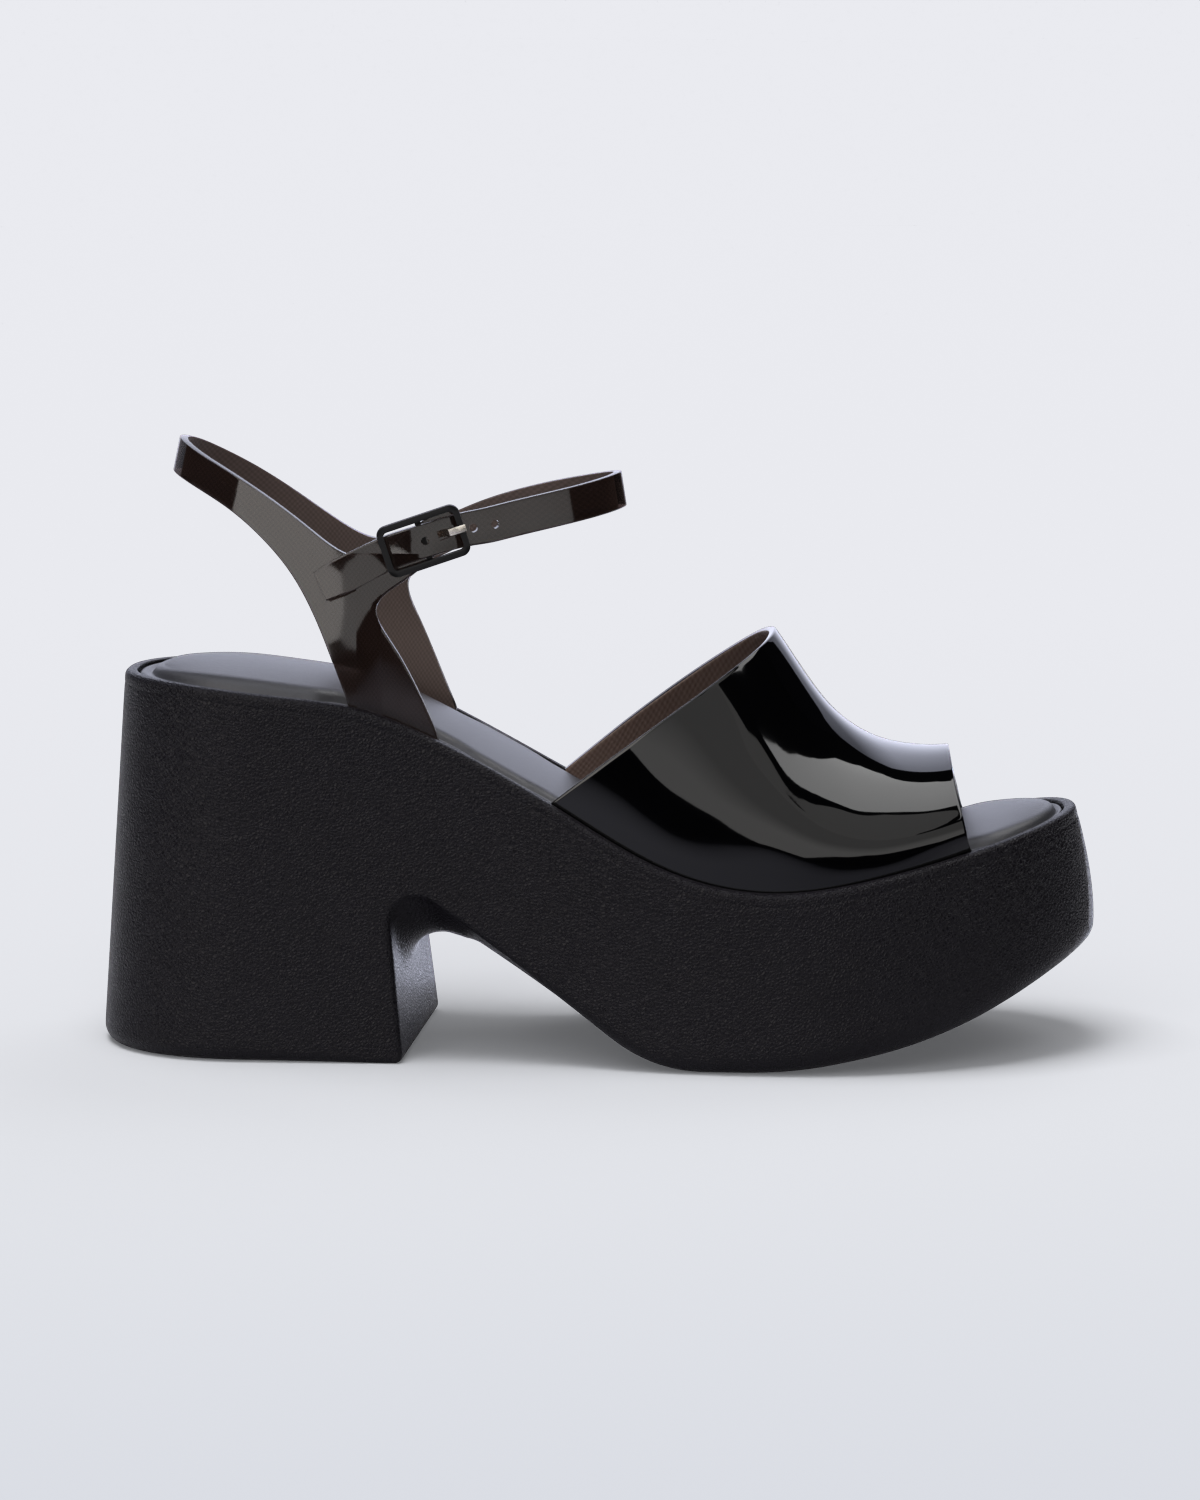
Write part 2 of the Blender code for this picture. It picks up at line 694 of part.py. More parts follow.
def buckle_frame_axes():
    """Place of the buckle: along the strap, across it, and out from the ankle."""
    middle = ankle_point(BUCKLE_TURN, BUCKLE_Z)
    ahead = (ankle_point(BUCKLE_TURN + 1, BUCKLE_Z) - middle).normalized()
    out = ahead.cross(Vector((0, 0, 1))).normalized()
    tilt = radians(BUCKLE_TILT)
    along = ahead * cos(tilt) + Vector((0, 0, 1)) * sin(tilt)
    across = out.cross(along)
    return Matrix((along, across, out)).transposed().to_4x4(), middle


def place_buckle(mesh):
    axes, middle = buckle_frame_axes()
    for vert in mesh.verts:
        vert.co = (axes @ vert.co + middle) * MM


def rounded_rectangle(length, height, radius, pieces=4):
    spots = []
    for corner in range(4):
        middle_x = (length / 2 - radius) * (1 if corner in (0, 3) else -1)
        middle_y = (height / 2 - radius) * (1 if corner in (0, 1) else -1)
        for piece in range(pieces + 1):
            angle = pi / 2 * (corner + piece / pieces)
            spots.append((middle_x + radius * cos(angle), middle_y + radius * sin(angle)))
    return spots


def build_frame(mesh):
    """Ring of the frame, with the middle bar that dips under the strap."""
    outer = rounded_rectangle(FRAME_LENGTH, FRAME_HEIGHT, FRAME_CORNER)
    inner = rounded_rectangle(FRAME_LENGTH - 2 * FRAME_BAR, FRAME_HEIGHT - 2 * FRAME_BAR,
                              FRAME_INNER_CORNER)
    low = Vector((0, 0, FRAME_STAND_OFF))
    high = Vector((0, 0, FRAME_STAND_OFF + FRAME_DEPTH))
    shoulder = high - Vector((0, 0, FRAME_EDGE))
    ring = []
    for (outer_x, outer_y), (inner_x, inner_y) in zip(outer, inner):
        out_spot = Vector((outer_x, outer_y, 0))
        in_spot = Vector((inner_x, inner_y, 0))
        inward = (in_spot - out_spot).normalized() * FRAME_EDGE
        ring.append([out_spot + low, out_spot + shoulder, out_spot + inward + high,
                     in_spot - inward + high, in_spot + shoulder, in_spot + low])
    rows = [[mesh.verts.new(spot) for spot in rib] for rib in ring]
    for first, second in zip(rows, rows[1:] + rows[:1]):
        for spot in range(len(first)):
            after = (spot + 1) % len(first)
            mesh.faces.new((first[spot], second[spot], second[after], first[after]))
    bmesh.ops.recalc_face_normals(mesh, faces=mesh.faces)


def build_middle_bar(mesh):
    """Cranked bar: it hangs from the frame's long sides and runs under the strap."""
    end = FRAME_HEIGHT / 2 - BAR_END_INSET
    side = FRAME_HEIGHT / 2 - FRAME_BAR
    low, high = BAR_STAND_OFF, BAR_STAND_OFF + BAR_DEPTH
    seat = FRAME_STAND_OFF + BAR_SEAT
    profile = [(-end, seat), (-end, low), (end, low), (end, seat),
               (side, seat), (side, high), (-side, high), (-side, seat)]
    near = [mesh.verts.new(Vector((-BAR_WIDTH / 2, y, z))) for y, z in profile]
    far = [mesh.verts.new(Vector((BAR_WIDTH / 2, y, z))) for y, z in profile]
    mesh.faces.new(near)
    mesh.faces.new(far)
    for spot in range(len(profile)):
        after = (spot + 1) % len(profile)
        mesh.faces.new((near[spot], near[after], far[after], far[spot]))
    bmesh.ops.recalc_face_normals(mesh, faces=mesh.faces)


def build_prong(mesh):
    """Flat pin that comes up through the strap's hole and lies on the front bar."""
    rows = []
    for index, step in enumerate(PRONG_PATH):
        before = PRONG_PATH[max(index - 1, 0)]
        after = PRONG_PATH[min(index + 1, len(PRONG_PATH) - 1)]
        run = Vector((after.along - before.along, 0, after.out - before.out)).normalized()
        up = Vector((-run.z, 0, run.x)) * PRONG_DEPTH / 2
        wide = Vector((0, PRONG_WIDTH / 2, 0))
        middle = Vector((step.along, 0, step.out))
        rows.append([middle + up + wide, middle + up - wide, middle - up - wide, middle - up + wide])
    grid = [[mesh.verts.new(spot) for spot in row] for row in rows]
    for first, second in zip(grid, grid[1:]):
        for spot in range(4):
            after = (spot + 1) % 4
            mesh.faces.new((first[spot], first[after], second[after], second[spot]))
    mesh.faces.new(grid[0])
    mesh.faces.new(grid[-1])
    bmesh.ops.recalc_face_normals(mesh, faces=mesh.faces)


def build_prong_hole(mesh):
    """Cutter for the hole in the strap that the prong comes up through."""
    length = PRONG_HOLE_TO - PRONG_HOLE_FROM
    bmesh.ops.create_cube(mesh, size=1.0)
    for vert in mesh.verts:
        vert.co = Vector((vert.co.x * length + (PRONG_HOLE_FROM + PRONG_HOLE_TO) / 2,
                          vert.co.y * PRONG_HOLE_WIDTH,
                          vert.co.z * PRONG_HOLE_DEPTH + PRONG_HOLE_OUT))


# Objects


def make_material(name):
    finish = FINISHES[name]
    material = bpy.data.materials.get(name) or bpy.data.materials.new(name)
    material.use_nodes = True
    shader = material.node_tree.nodes["Principled BSDF"]
    shader.inputs["Base Color"].default_value = (*finish.colour, 1.0)
    shader.inputs["Roughness"].default_value = finish.roughness
    shader.inputs["Metallic"].default_value = finish.metallic
    return material


def make_object(name, mesh, finish, parent):
    data = bpy.data.meshes.new(name)
    mesh.to_mesh(data)
    mesh.free()
    data.shade_smooth()
    data.set_sharp_from_angle(angle=SHARP_ANGLE)
    if finish:
        data.materials.append(make_material(finish))
    piece = bpy.data.objects.new(name, data)
    bpy.context.scene.collection.objects.link(piece)
    piece.parent = parent
    return piece


def make_cutter(name, mesh, parent):
    cutter = make_object(name, mesh, None, parent)
    cutter.hide_render = True
    cutter.display_type = "WIRE"
    return cutter


def add_wall(piece):
    wall = piece.modifiers.new("wall", "SOLIDIFY")
    wall.thickness = WALL * MM
    wall.offset = 0.0
    wall.use_even_offset = True


def join_or_cut(piece, tool, operation):
    boolean = piece.modifiers.new(operation.lower(), "BOOLEAN")
    boolean.operation = operation
    boolean.solver = "EXACT"
    boolean.object = tool


def make_sole(shoe):
    mesh = bmesh.new()
    loft(mesh, sole_ribs())
    make_object("platform_sole", mesh, "pebbled_foam", shoe)


def make_footbed(shoe):
    mesh = bmesh.new()
    loft(mesh, footbed_ribs())
    make_object("footbed", mesh, "padded_lining", shoe)


def make_vamp(shoe):
    mesh = bmesh.new()
    skin(mesh, vamp_rows())
    bmesh.ops.recalc_face_normals(mesh, faces=mesh.faces)
    add_wall(make_object("vamp_band", mesh, "gloss_black_plastic", shoe))


def make_sling(shoe):
    mesh = bmesh.new()
    build_sling(mesh)
    sling = make_object("ankle_sling", mesh, "smoky_plastic", shoe)
    smooth = sling.modifiers.new("smooth", "SUBSURF")
    smooth.levels = 1
    smooth.render_levels = 1
    add_wall(sling)
    hole = bmesh.new()
    build_prong_hole(hole)
    place_buckle(hole)
    join_or_cut(sling, make_cutter("prong_hole", hole, shoe), "DIFFERENCE")


def make_buckle(shoe):
    ring, bar, prong = bmesh.new(), bmesh.new(), bmesh.new()
    build_frame(ring)
    build_middle_bar(bar)
    build_prong(prong)
    for mesh in (ring, bar, prong):
        place_buckle(mesh)
    frame = make_object("buckle_frame", ring, "matt_black_metal", shoe)
    join_or_cut(frame, make_cutter("middle_bar", bar, shoe), "UNION")
    make_object("buckle_prong", prong, "pale_metal", shoe)


def main():
    for old in list(bpy.data.objects):
        bpy.data.objects.remove(old, do_unlink=True)
    shoe = bpy.data.objects.new("platform_heel", None)
    bpy.context.scene.collection.objects.link(shoe)
    make_sole(shoe)
    make_footbed(shoe)
    make_vamp(shoe)
    make_sling(shoe)
    make_buckle(shoe)


main()
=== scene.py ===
"""Looks of a right platform sandal: grained foam sole, padded footbed, glossy toe band and smoky sling.

Lengths in the tables are millimetres. X runs from heel to toe, -Y is the outer (buckle) side, Z is up.
"""
from collections import namedtuple
from math import asin, cos, hypot, pi, radians, sin, tan

import bpy
import numpy as np
from mathutils import Matrix, Vector


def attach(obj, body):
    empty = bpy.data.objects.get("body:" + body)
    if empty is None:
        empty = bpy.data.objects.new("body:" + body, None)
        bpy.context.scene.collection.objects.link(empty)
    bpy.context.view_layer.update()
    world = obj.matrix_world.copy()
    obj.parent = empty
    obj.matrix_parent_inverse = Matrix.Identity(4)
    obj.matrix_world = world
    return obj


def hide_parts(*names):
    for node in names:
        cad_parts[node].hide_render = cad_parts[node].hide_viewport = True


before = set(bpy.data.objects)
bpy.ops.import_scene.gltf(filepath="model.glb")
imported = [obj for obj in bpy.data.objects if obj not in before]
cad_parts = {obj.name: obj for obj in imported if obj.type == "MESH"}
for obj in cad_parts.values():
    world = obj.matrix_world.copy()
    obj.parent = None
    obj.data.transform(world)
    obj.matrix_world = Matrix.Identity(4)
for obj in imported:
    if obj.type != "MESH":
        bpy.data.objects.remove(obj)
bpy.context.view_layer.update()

MM = 0.001
OUTER, INNER = -1, 1
HALF_PI = pi / 2

# Sizes of the shoe, the same as those of the solids that these pieces stand for
HEEL_BACK = -123.8
TOE_TIP = 123.2
RIM_BACK_LEAN = 6.6
RIM_TOE_LEAN = 5.7
TOE_LEAN_CURVE = 1.6
WALL = 2.0
GAP = 0.3
LIP_WIDTH = 3.0
LIP_ROUND = 1.6
LIP_INNER_ROUND = 0.5
TRAY_DEPTH = 5.2
BREAST_SKEW = 0.055
BREAST_X = -46.0
BREAST_SPREAD = 14.0
HEEL_CAP_FROM = -85.0
TOE_CAP_FROM = 45.0
HEEL_SQUARENESS = 2.2
TOE_SQUARENESS = {OUTER: 2.0, INNER: 2.3}
TOE_INSWING = 4.0
OUTLINE_STEP = 0.004

Plan = namedtuple("Plan", "x outer inner draft")
PLAN = [
    Plan(-124, 34.8, 34.8, 2.6),
    Plan(-85, 34.8, 34.6, 2.6),
    Plan(-60, 34.6, 32.8, 2.4),
    Plan(-40, 34.4, 29.2, 2.0),
    Plan(-20, 35.6, 27.2, 1.6),
    Plan(0, 39.0, 30.2, 1.3),
    Plan(20, 42.7, 37.2, 1.1),
    Plan(45, 45.5, 42.2, 1.0),
    Plan(124, 45.5, 41.0, 1.0),
]

Rim = namedtuple("Rim", "x z")
RIM = [
    Rim(-124, 92.8),
    Rim(-100, 91.6),
    Rim(-75, 89.0),
    Rim(-56, 86.2),
    Rim(-37, 78.6),
    Rim(-10, 64.0),
    Rim(15, 50.2),
    Rim(41, 44.2),
    Rim(70, 47.7),
    Rim(103, 55.7),
    Rim(124, 61.4),
]

Corner = namedtuple("Corner", "edge_x edge_z edge_round keel_x keel_z keel_round rim_x legs")
UNDERSIDE = [
    Corner(-123.8, 0.0, 0, -123.8, 0.0, 0, -117.2, 44),
    Corner(-44.2, 0.0, 2, -44.2, 0.0, 2, -72.0, 10),
    Corner(-49.4, 48.0, 6, -47.7, 30.0, 9, -48.0, 8),
    Corner(-30.0, 33.3, 30, -29.0, 27.0, 14, -22.0, 18),
    Corner(14.0, 0.0, 36, 12.5, 0.0, 36, 14.0, 10),
    Corner(48.0, 0.0, 130, 48.0, 0.0, 130, 48.0, 12),
    Corner(86.0, 6.9, 140, 86.0, 6.9, 140, 84.0, 32),
    Corner(123.2, 25.4, 0, 123.2, 25.4, 0, 117.5, 0),
]
CORNER_PIECES = 8
CORNER_SHARE = 0.12
KEEL_FLATNESS = 3

Edge = namedtuple("Edge", "x round")
EDGE = [
    Edge(-124, 4.0),
    Edge(-85, 4.2),
    Edge(-60, 2.6),
    Edge(-46, 1.6),
    Edge(-30, 1.8),
    Edge(0, 3.4),
    Edge(40, 5.6),
    Edge(90, 6.4),
    Edge(124, 6.4),
]

# Mould parting line under the lip: how far below the rim, half its width, and its depth
PARTING_DROP = 3.1
PARTING_HALF_WIDTH = 0.22
PARTING_DEPTH = 0.16
LIP_PIECES = 5
WALL_PIECES = 16
EDGE_PIECES = 6
TRAY_PIECES = 3
BOTTOM_PIECES = 16

Crown = namedtuple("Crown", "x rise")
CROWN = [
    Crown(-120, 1.8),
    Crown(-90, 3.6),
    Crown(-60, 2.8),
    Crown(-30, 1.7),
    Crown(0, 1.6),
    Crown(60, 1.8),
    Crown(100, 2.9),
    Crown(120, 2.4),
]
FOOTBED_STATIONS = 150
ACROSS_PIECES = 26
FLANGE_DROP = 0.8
FLANGE_WIDTH = 3.4
TOE_FLANGE_WIDTH, TOE_FLANGE_FROM, TOE_FLANGE_EASE = 1.6, 88.0, 16.0
FLANGE_EDGE = 0.5
CROWN_SPREAD = 34.0
QUARTER_POCKET = (-65.0, -31.0)
VAMP_POCKET = (-16.0, 97.0)
POCKET_EASE = 5.0

# Footbed's edge from the slot inwards: a soft bead, the pressed channel, then the pad's shoulder
Bead = namedtuple("Bead", "inset lift")
BEAD = [Bead(0.5, 0.0), Bead(1.1, 0.28), Bead(1.9, 0.3), Bead(2.7, 0.02), Bead(3.2, -0.2)]
Shoulder = namedtuple("Shoulder", "inset up")
SHOULDER = [
    Shoulder(0.1, 0.02),
    Shoulder(0.4, 0.2),
    Shoulder(0.9, 0.45),
    Shoulder(1.8, 0.65),
    Shoulder(3.0, 0.75),
]

Crest = namedtuple("Crest", "x z")
CREST = [
    Crest(-14, 147.0),
    Crest(5, 136.0),
    Crest(25, 119.6),
    Crest(42, 101.8),
    Crest(48.6, 91.9),
    Crest(54.5, 83.9),
    Crest(61, 78.1),
    Crest(68.4, 74.4),
    Crest(76, 72.9),
    Crest(83, 72.6),
    Crest(92, 73.6),
]
CREST_SIDE_SHIFT = 2.0
SECTION_SQUARENESS = 2.1
THROAT_BASE_X = -10.0
THROAT_CREST_X = 42.0
THROAT_BOW = 1.0
MOUTH_BASE_X = 90.6
MOUTH_CREST_X = 86.0
MOUTH_CURVE = 0.7
VAMP_ROOT = 4.4
SLOT_SPOTS = 61
SLOT_FROM, SLOT_TO = 0.02, 0.98
VAMP_LENGTH_PIECES = 56
RIM_LINES = (0.8, 1.2)
VAMP_HALF_PIECES = 52

# Soft swells and hollows of the toe band, outwards from the last: a row for each place along the shoe, a
# column for each turn up the section. The heights come from a search that made the photograph's reflections
# agree, and aren't placed by hand
SWELL_PLACES = (8, 24, 40, 56, 72, 88)
SWELL_TURNS = (0.3, 0.65, 1.0, 1.35)
SWELL_REACH, SWELL_SPREAD = 22.0, 0.5
SWELL_ROOT = 0.3
SWELLS = [
    (0.15, -0.28, 0.10, -0.08),
    (-0.25, -0.14, 0.75, -0.07),
    (0.59, -1.14, 0.09, 0.07),
    (0.31, -0.34, -0.19, 0.23),
    (0.19, -0.33, -0.12, -0.22),
    (0.56, -0.03, -0.18, -0.12),
]
SWELL_STEP, SWELL_TURN_STEP = 0.5, 0.01

ANKLE_X = -55.0
ANKLE_HALF_WIDTH = 28.4
HEEL_REACH, HEEL_LEVEL, HEEL_LEAN = 48.7, 145.0, 0.22
SHIN_REACH, SHIN_LEVEL, SHIN_LEAN = 60.6, 137.0, 0.25
STRAP_LEAN = 0.14
SLING_ROOT = 4.4
COLLAR_RISE = 3.0
COLLAR_SHARE = 0.3
ROOT_BLEND = 18.0

Band = namedtuple("Band", "rear_turn rear_z front_turn front_z outer_cut inner_drop")
HEEL_BAND = [
    Band(3.8, 87.0, -13.7, 78.6, 0.0, 0.0),
    Band(7.2, 96.3, -10.1, 91.0, 0.0, 0.0),
    Band(10.3, 104.3, -6.7, 101.2, 0.6, 0.0),
    Band(13.4, 110.6, -2.5, 111.2, 2.6, 0.0),
    Band(16.7, 116.0, 0.0, 116.4, 1.8, 0.6),
    Band(21.3, 121.5, 3.6, 121.8, 0.6, 1.6),
    Band(28.0, 127.0, 15.3, 130.0, 0.0, 2.9),
    Band(34.8, 131.2, 27.4, 136.8, 0.0, 2.5),
    Band(42.8, 134.7, 40.5, 142.0, 0.0, 1.5),
    Band(56.0, 138.2, 57.0, 146.2, 0.0, 0.6),
    Band(72.5, 140.7, 73.0, 148.8, 0.0, 0.1),
    Band(90.0, 141.4, 90.0, 149.7, 0.0, 0.0),
]
BRANCH_ROWS = (3, 4, 5)
ROOT_ROWS = 2
BAND_PIECES = 4

Strap = namedtuple("Strap", "turn z slope half_width stand_off")
INSTEP_INNER = [
    Strap(7.0, 119.2, 29, 4.2, 0.0),
    Strap(16.0, 124.2, 27, 4.2, 0.0),
    Strap(26.0, 128.6, 20, 4.2, 0.0),
    Strap(42.0, 132.6, 13, 4.2, 0.0),
    Strap(58.0, 134.9, 11, 4.2, 0.0),
    Strap(74.0, 136.5, 8, 4.2, 0.0),
    Strap(90.0, 137.1, 0, 4.2, 0.0),
]
INSTEP_OUTER = [
    Strap(74.0, 136.5, -8, 4.2, 0.0),
    Strap(58.0, 135.0, -11, 4.2, 0.0),
    Strap(42.0, 132.9, -12, 4.2, 0.0),
    Strap(33.0, 131.4, -12, 4.2, 0.4),
    Strap(27.0, 130.2, -13, 4.2, 1.6),
    Strap(22.3, 129.7, -16, 4.1, 2.3),
    Strap(17.4, 128.6, -18, 4.0, 3.3),
    Strap(12.9, 127.1, -18.3, 4.0, 4.1),
    Strap(8.4, 125.5, -18.3, 4.0, 3.3),
    Strap(4.4, 123.8, -21, 4.1, 2.4),
    Strap(-1.5, 120.3, -25, 4.3, 2.4),
    Strap(-6.5, 117.9, -25, 4.4, 2.4),
    Strap(-10.5, 115.8, -25, 3.7, 2.4),
]
BUCKLE_TAB = [
    Strap(6.4, 120.2, 38, 4.2, 0.0),
    Strap(12.0, 125.4, 39, 4.2, 0.0),
    Strap(17.2, 130.0, 37, 4.2, 0.0),
    Strap(20.8, 132.6, 34, 3.0, 0.0),
]
TAIL_CREASE = 0.75
RIM_ROUND = 0.4
STRAP_HOLE_TURNS = (12.9, 23.9, 29.4)
STRAP_HOLE_RADIUS = 1.0
STRAP_HOLE_DEPTH = 4.4
STRAP_HOLE_SIDES = 24

# Buckle, its bars a little slimmer than the solid's, as they show
BUCKLE_TURN, BUCKLE_Z, BUCKLE_TILT = 12.9, 127.1, 18.3
FRAME_LENGTH, FRAME_HEIGHT, FRAME_BAR, FRAME_DEPTH = 20.6, 12.6, 1.5, 1.8
FRAME_CORNER = 2.4
FRAME_INNER_CORNER = 1.1
FRAME_EDGE = 0.45
FRAME_CORNER_SEGMENTS, FRAME_EDGE_SEGMENTS = 8, 4
FRAME_STAND_OFF = 4.0
BAR_STAND_OFF, BAR_DEPTH, BAR_WIDTH = 1.4, 0.8, 1.4
BAR_SEAT, BAR_END_INSET = 0.6, 0.3
PRONG_WIDTH, PRONG_DEPTH = 1.8, 0.8
PRONG_EDGE = 0.25
PRONG_EDGE_ANGLE, PRONG_EDGE_SEGMENTS = radians(50), 3
PRONG_HOLE_FROM, PRONG_HOLE_TO, PRONG_HOLE_WIDTH = 3.7, 7.9, 2.6
PRONG_HOLE_OUT, PRONG_HOLE_DEPTH = 4.2, 5.0

Step = namedtuple("Step", "along out")
PRONG_PATH = [
    Step(1.1, 1.75),
    Step(4.2, 1.65),
    Step(5.5, 3.2),
    Step(6.8, 6.3),
    Step(7.9, 6.6),
    Step(10.7, 6.6),
]

# Points nearer than WELD, in metres, are one. Edges flatter than SMOOTH_ANGLE are shaded smooth, and those
# sharper than RIM_ANGLE are rounded as rims
WELD = 0.00001
SMOOTH_ANGLE = radians(40)
RIM_ANGLE, RIM_SEGMENTS = radians(60), 3

# Woven lining: pitch of its threads, their pitch through the smoke tint, and the cylinders it is wound on
LINING_THREAD, SMOKE_THREAD = 0.7, 0.5
ANKLE_WEAVE_RADIUS, TOE_WEAVE_RADIUS, TOE_WEAVE_LEVEL = 38.0, 36.0, 45.0

# Lean that the sling's bump gives its shine: from where to where along an axis, and from what to what
Lean = namedtuple("Lean", "start end first last")
QUARTER_LEAN = Lean(88, 130, 4.6, 0.0)
INSTEP_LEAN = Lean(124, 160, 0.0, -2.9)
FRONT_LEAN = Lean(-57, -51, 0.0, -0.65)
UNDER_TAIL = Lean(-30.8, -30.2, 0.0, 1.0)

# Camera at the photograph's angle, and the long side of its picture
CAMERA_AZIMUTH, CAMERA_ELEVATION = 3.0, 8.56
CAMERA_DISTANCE = 1.062
CAMERA_AIM = Vector((0.0, 0.0, 0.0722))
LENS, SENSOR = 103.2, 36.0

# Light cards round the shoe, mirrored in its gloss: azimuth and elevation of their corners, azimuth 0 toward
# the camera and 90 toward the toe
CARD_DISTANCE = 2.4
OVERHEAD_CARD = [
    (52, 40.9), (57, 43), (62, 46), (65, 49), (65, 57), (67, 64), (66, 71), (72, 79), (120, 84), (165, 76),
    (158, 67), (151, 65), (145, 57), (134, 49.2), (119, 44.4), (97, 42.4), (85, 41.6), (67, 41.4),
]
FRONT_CARD = [
    (37, 36.2), (38, 38.6), (43, 40), (49, 43), (54, 48.5), (56, 52), (58, 57), (60, 67), (50, 72), (36, 64),
    (24, 50), (18, 36.2),
]
LOW_CARD = [
    (-13, 10.5), (-11, 7.7), (-9.5, 6.8), (-8, 4.5), (-6, 1.3), (-2, -1.7), (3, -2.5), (9, -1), (13, 2),
    (20, 8.3), (27, 11.4), (35, 9.7), (48, 4), (62, 4), (62, 35), (50, 37), (37, 36.4), (18, 36.4), (12, 40),
    (-13, 38),
]
SIDE_CARD = [(-57, -5), (-30, -4), (-26, -1), (-22, 3.5), (-17, 7), (-13, 10.5), (-13, 38), (-57, 38)]
TOP_CARD = [(-70, 42), (-13, 42), (12, 44), (20, 54), (32, 70), (30, 78), (-70, 74)]
LEFT_CARD = [(-125, 35), (-75, 35), (-75, 70), (-125, 70)]
BACK_CARD = [
    (147.3, 22.6), (147.3, 27), (152, 40.3), (158, 49.7), (165, 52.5), (172, 54), (190, 56), (205, 40),
    (205, 0), (171, 0), (165, 3), (157, 8), (154.5, 10), (151.7, 14.7), (148.6, 18.6),
]
RIM_CARD = [(207, 2), (207, 40), (238, 40), (238, 2)]

# Two cards dim: along which axis, from where to where in metres, and what radiance is left
Fade = namedtuple("Fade", "axis start end radiance")
Card = namedtuple("Card", "name radiance code corners fade")
CARDS = [
    Card("overhead_card", 3.3, "#FFFFFF", OVERHEAD_CARD, None),
    Card("front_card", 0.8, "#FFFDFB", FRONT_CARD, None),
    Card("low_card", 1.25, "#FFFDFB", LOW_CARD, Fade("Z", 0.6, 1.0, 0.68)),
    Card("side_card", 2.8, "#FFFAF6", SIDE_CARD, None),
    Card("top_card", 2.0, "#F4F6FF", TOP_CARD, None),
    Card("left_card", 1.2, "#F4F6FF", LEFT_CARD, None),
    Card("back_card", 1.7, "#E6EAFF", BACK_CARD, Fade("X", 0.45, 0.95, 0.4)),
    Card("rim_card", 0.25, "#E6EAFF", RIM_CARD, None),
]

# Glowing card lying behind the shoe, a painted reflection of lit paper in the heel's breast: its corners on
# the floor, in metres
PAPER_GLOW_CARD = Card("paper_glow_card", 2.8, "#E6EAFF", [(-0.12, 0.06), (0.16, 0.06), (0.3, 0.7), (-0.3, 0.7)], None)
PAPER_LIFT = 0.002

# Soft boxes: the direction they stand in, their width in metres, and whether they cast shadows
BOX_DISTANCE = 2.2
Box = namedtuple("Box", "name azimuth elevation size radiance shadow")
BOXES = [
    Box("key_soft_box", -60, 80, 1.2, 6.6, True),
    Box("fill_soft_box", 150, 48, 1.6, 2.0, False),
    Box("front_soft_box", -10, 42, 1.6, 1.0, True),
]

# Backdrop: its tones from low to high, between two heights of the view, and the room's light
BACKDROP_SPAN = (-0.32, 0.02)
BACKDROP_ENDS = ("#DADDE4", "#EAEBF0")
BACKDROP_STOPS = ((0.25, "#E3E5EA"), (0.6, "#E9EAEF"))
ROOM_CODE, ROOM_STRENGTH = "#F0F1FA", 0.18

# Floor's tones change over these spans, in metres: behind the shoe, to its right, far in front, up the wall;
# the grey in front, darker to the right, and dark far in front and up the wall, is painted shade
BEHIND_SPAN, RIGHT_SPAN = (-0.3, 0.15), (-0.3, 0.15)
FAR_SPAN, FLOOR_WALL_SPAN = (-1.1, -0.45), (0.0, 0.1)
# Painted shade: the floor's dark tone far in front and up the wall, which the gloss mirrors
FLOOR_PAINTED_SHADE = "#1A1A1E"

# Floor: radius and height of its rings, in metres
Ring = namedtuple("Ring", "radius z")
FLOOR_RINGS = [
    Ring(0, 0),
    Ring(1, 0),
    Ring(3.3, 0),
    Ring(3.6, 0.1),
    Ring(3.8, 0.3),
    Ring(3.9, 0.6),
    Ring(3.9, 2.0),
]
FLOOR_SIDES = 48


# Shapes shared with the solids


def batten(table, column):
    """A drafting batten bent through a table's rows: gives the column's smooth value anywhere."""
    place = np.array([row[0] for row in table], dtype=float)
    value = np.array([getattr(row, column) for row in table], dtype=float)
    step = np.diff(place)
    slope = np.diff(value) / step
    count = len(place)
    system = np.eye(count)
    load = np.zeros(count)
    for row in range(1, count - 1):
        system[row, row - 1:row + 2] = step[row - 1], 2 * (step[row - 1] + step[row]), step[row]
        load[row] = 6 * (slope[row] - slope[row - 1])
    bend = np.linalg.solve(system, load)

    def at(x):
        x = min(max(x, place[0]), place[-1])
        low = min(int(np.searchsorted(place, x, side="right")) - 1, count - 2)
        left, right, span = place[low + 1] - x, x - place[low], step[low]
        curved = (bend[low] * left ** 3 + bend[low + 1] * right ** 3) / (6 * span)
        from_low = (value[low] / span - bend[low] * span / 6) * left
        from_high = (value[low + 1] / span - bend[low + 1] * span / 6) * right
        return curved + from_low + from_high

    return at


RIM_Z = batten(RIM, "z")
HALF_PLAN = {OUTER: batten(PLAN, "outer"), INNER: batten(PLAN, "inner")}
DRAFT = batten(PLAN, "draft")
EDGE_ROUND = batten(EDGE, "round")
CROWN_RISE = batten(CROWN, "rise")
CREST_Z = batten(CREST, "z")


def ease(value):
    """Smooth step from 0 to 1."""
    value = min(max(value, 0.0), 1.0)
    return value * value * (3 - 2 * value)


def mix(first, second, share):
    return first + (second - first) * share


def back_x(level):
    """Back of the sole at a level: 0 on the floor, 1 at the rim."""
    return HEEL_BACK + RIM_BACK_LEAN * level


def toe_x(level):
    """Tip of the toe at a level: upright in its lower half, leaning back above."""
    return TOE_TIP - RIM_TOE_LEAN * max(0.0, 2 * level - 1) ** TOE_LEAN_CURVE


def station(x, level):
    """Share of the sole's length at x: 0 at the back, 1 at the toe."""
    share = (x - back_x(level)) / (toe_x(level) - back_x(level))
    return round(min(max(share, 0.0), 1.0), 6)


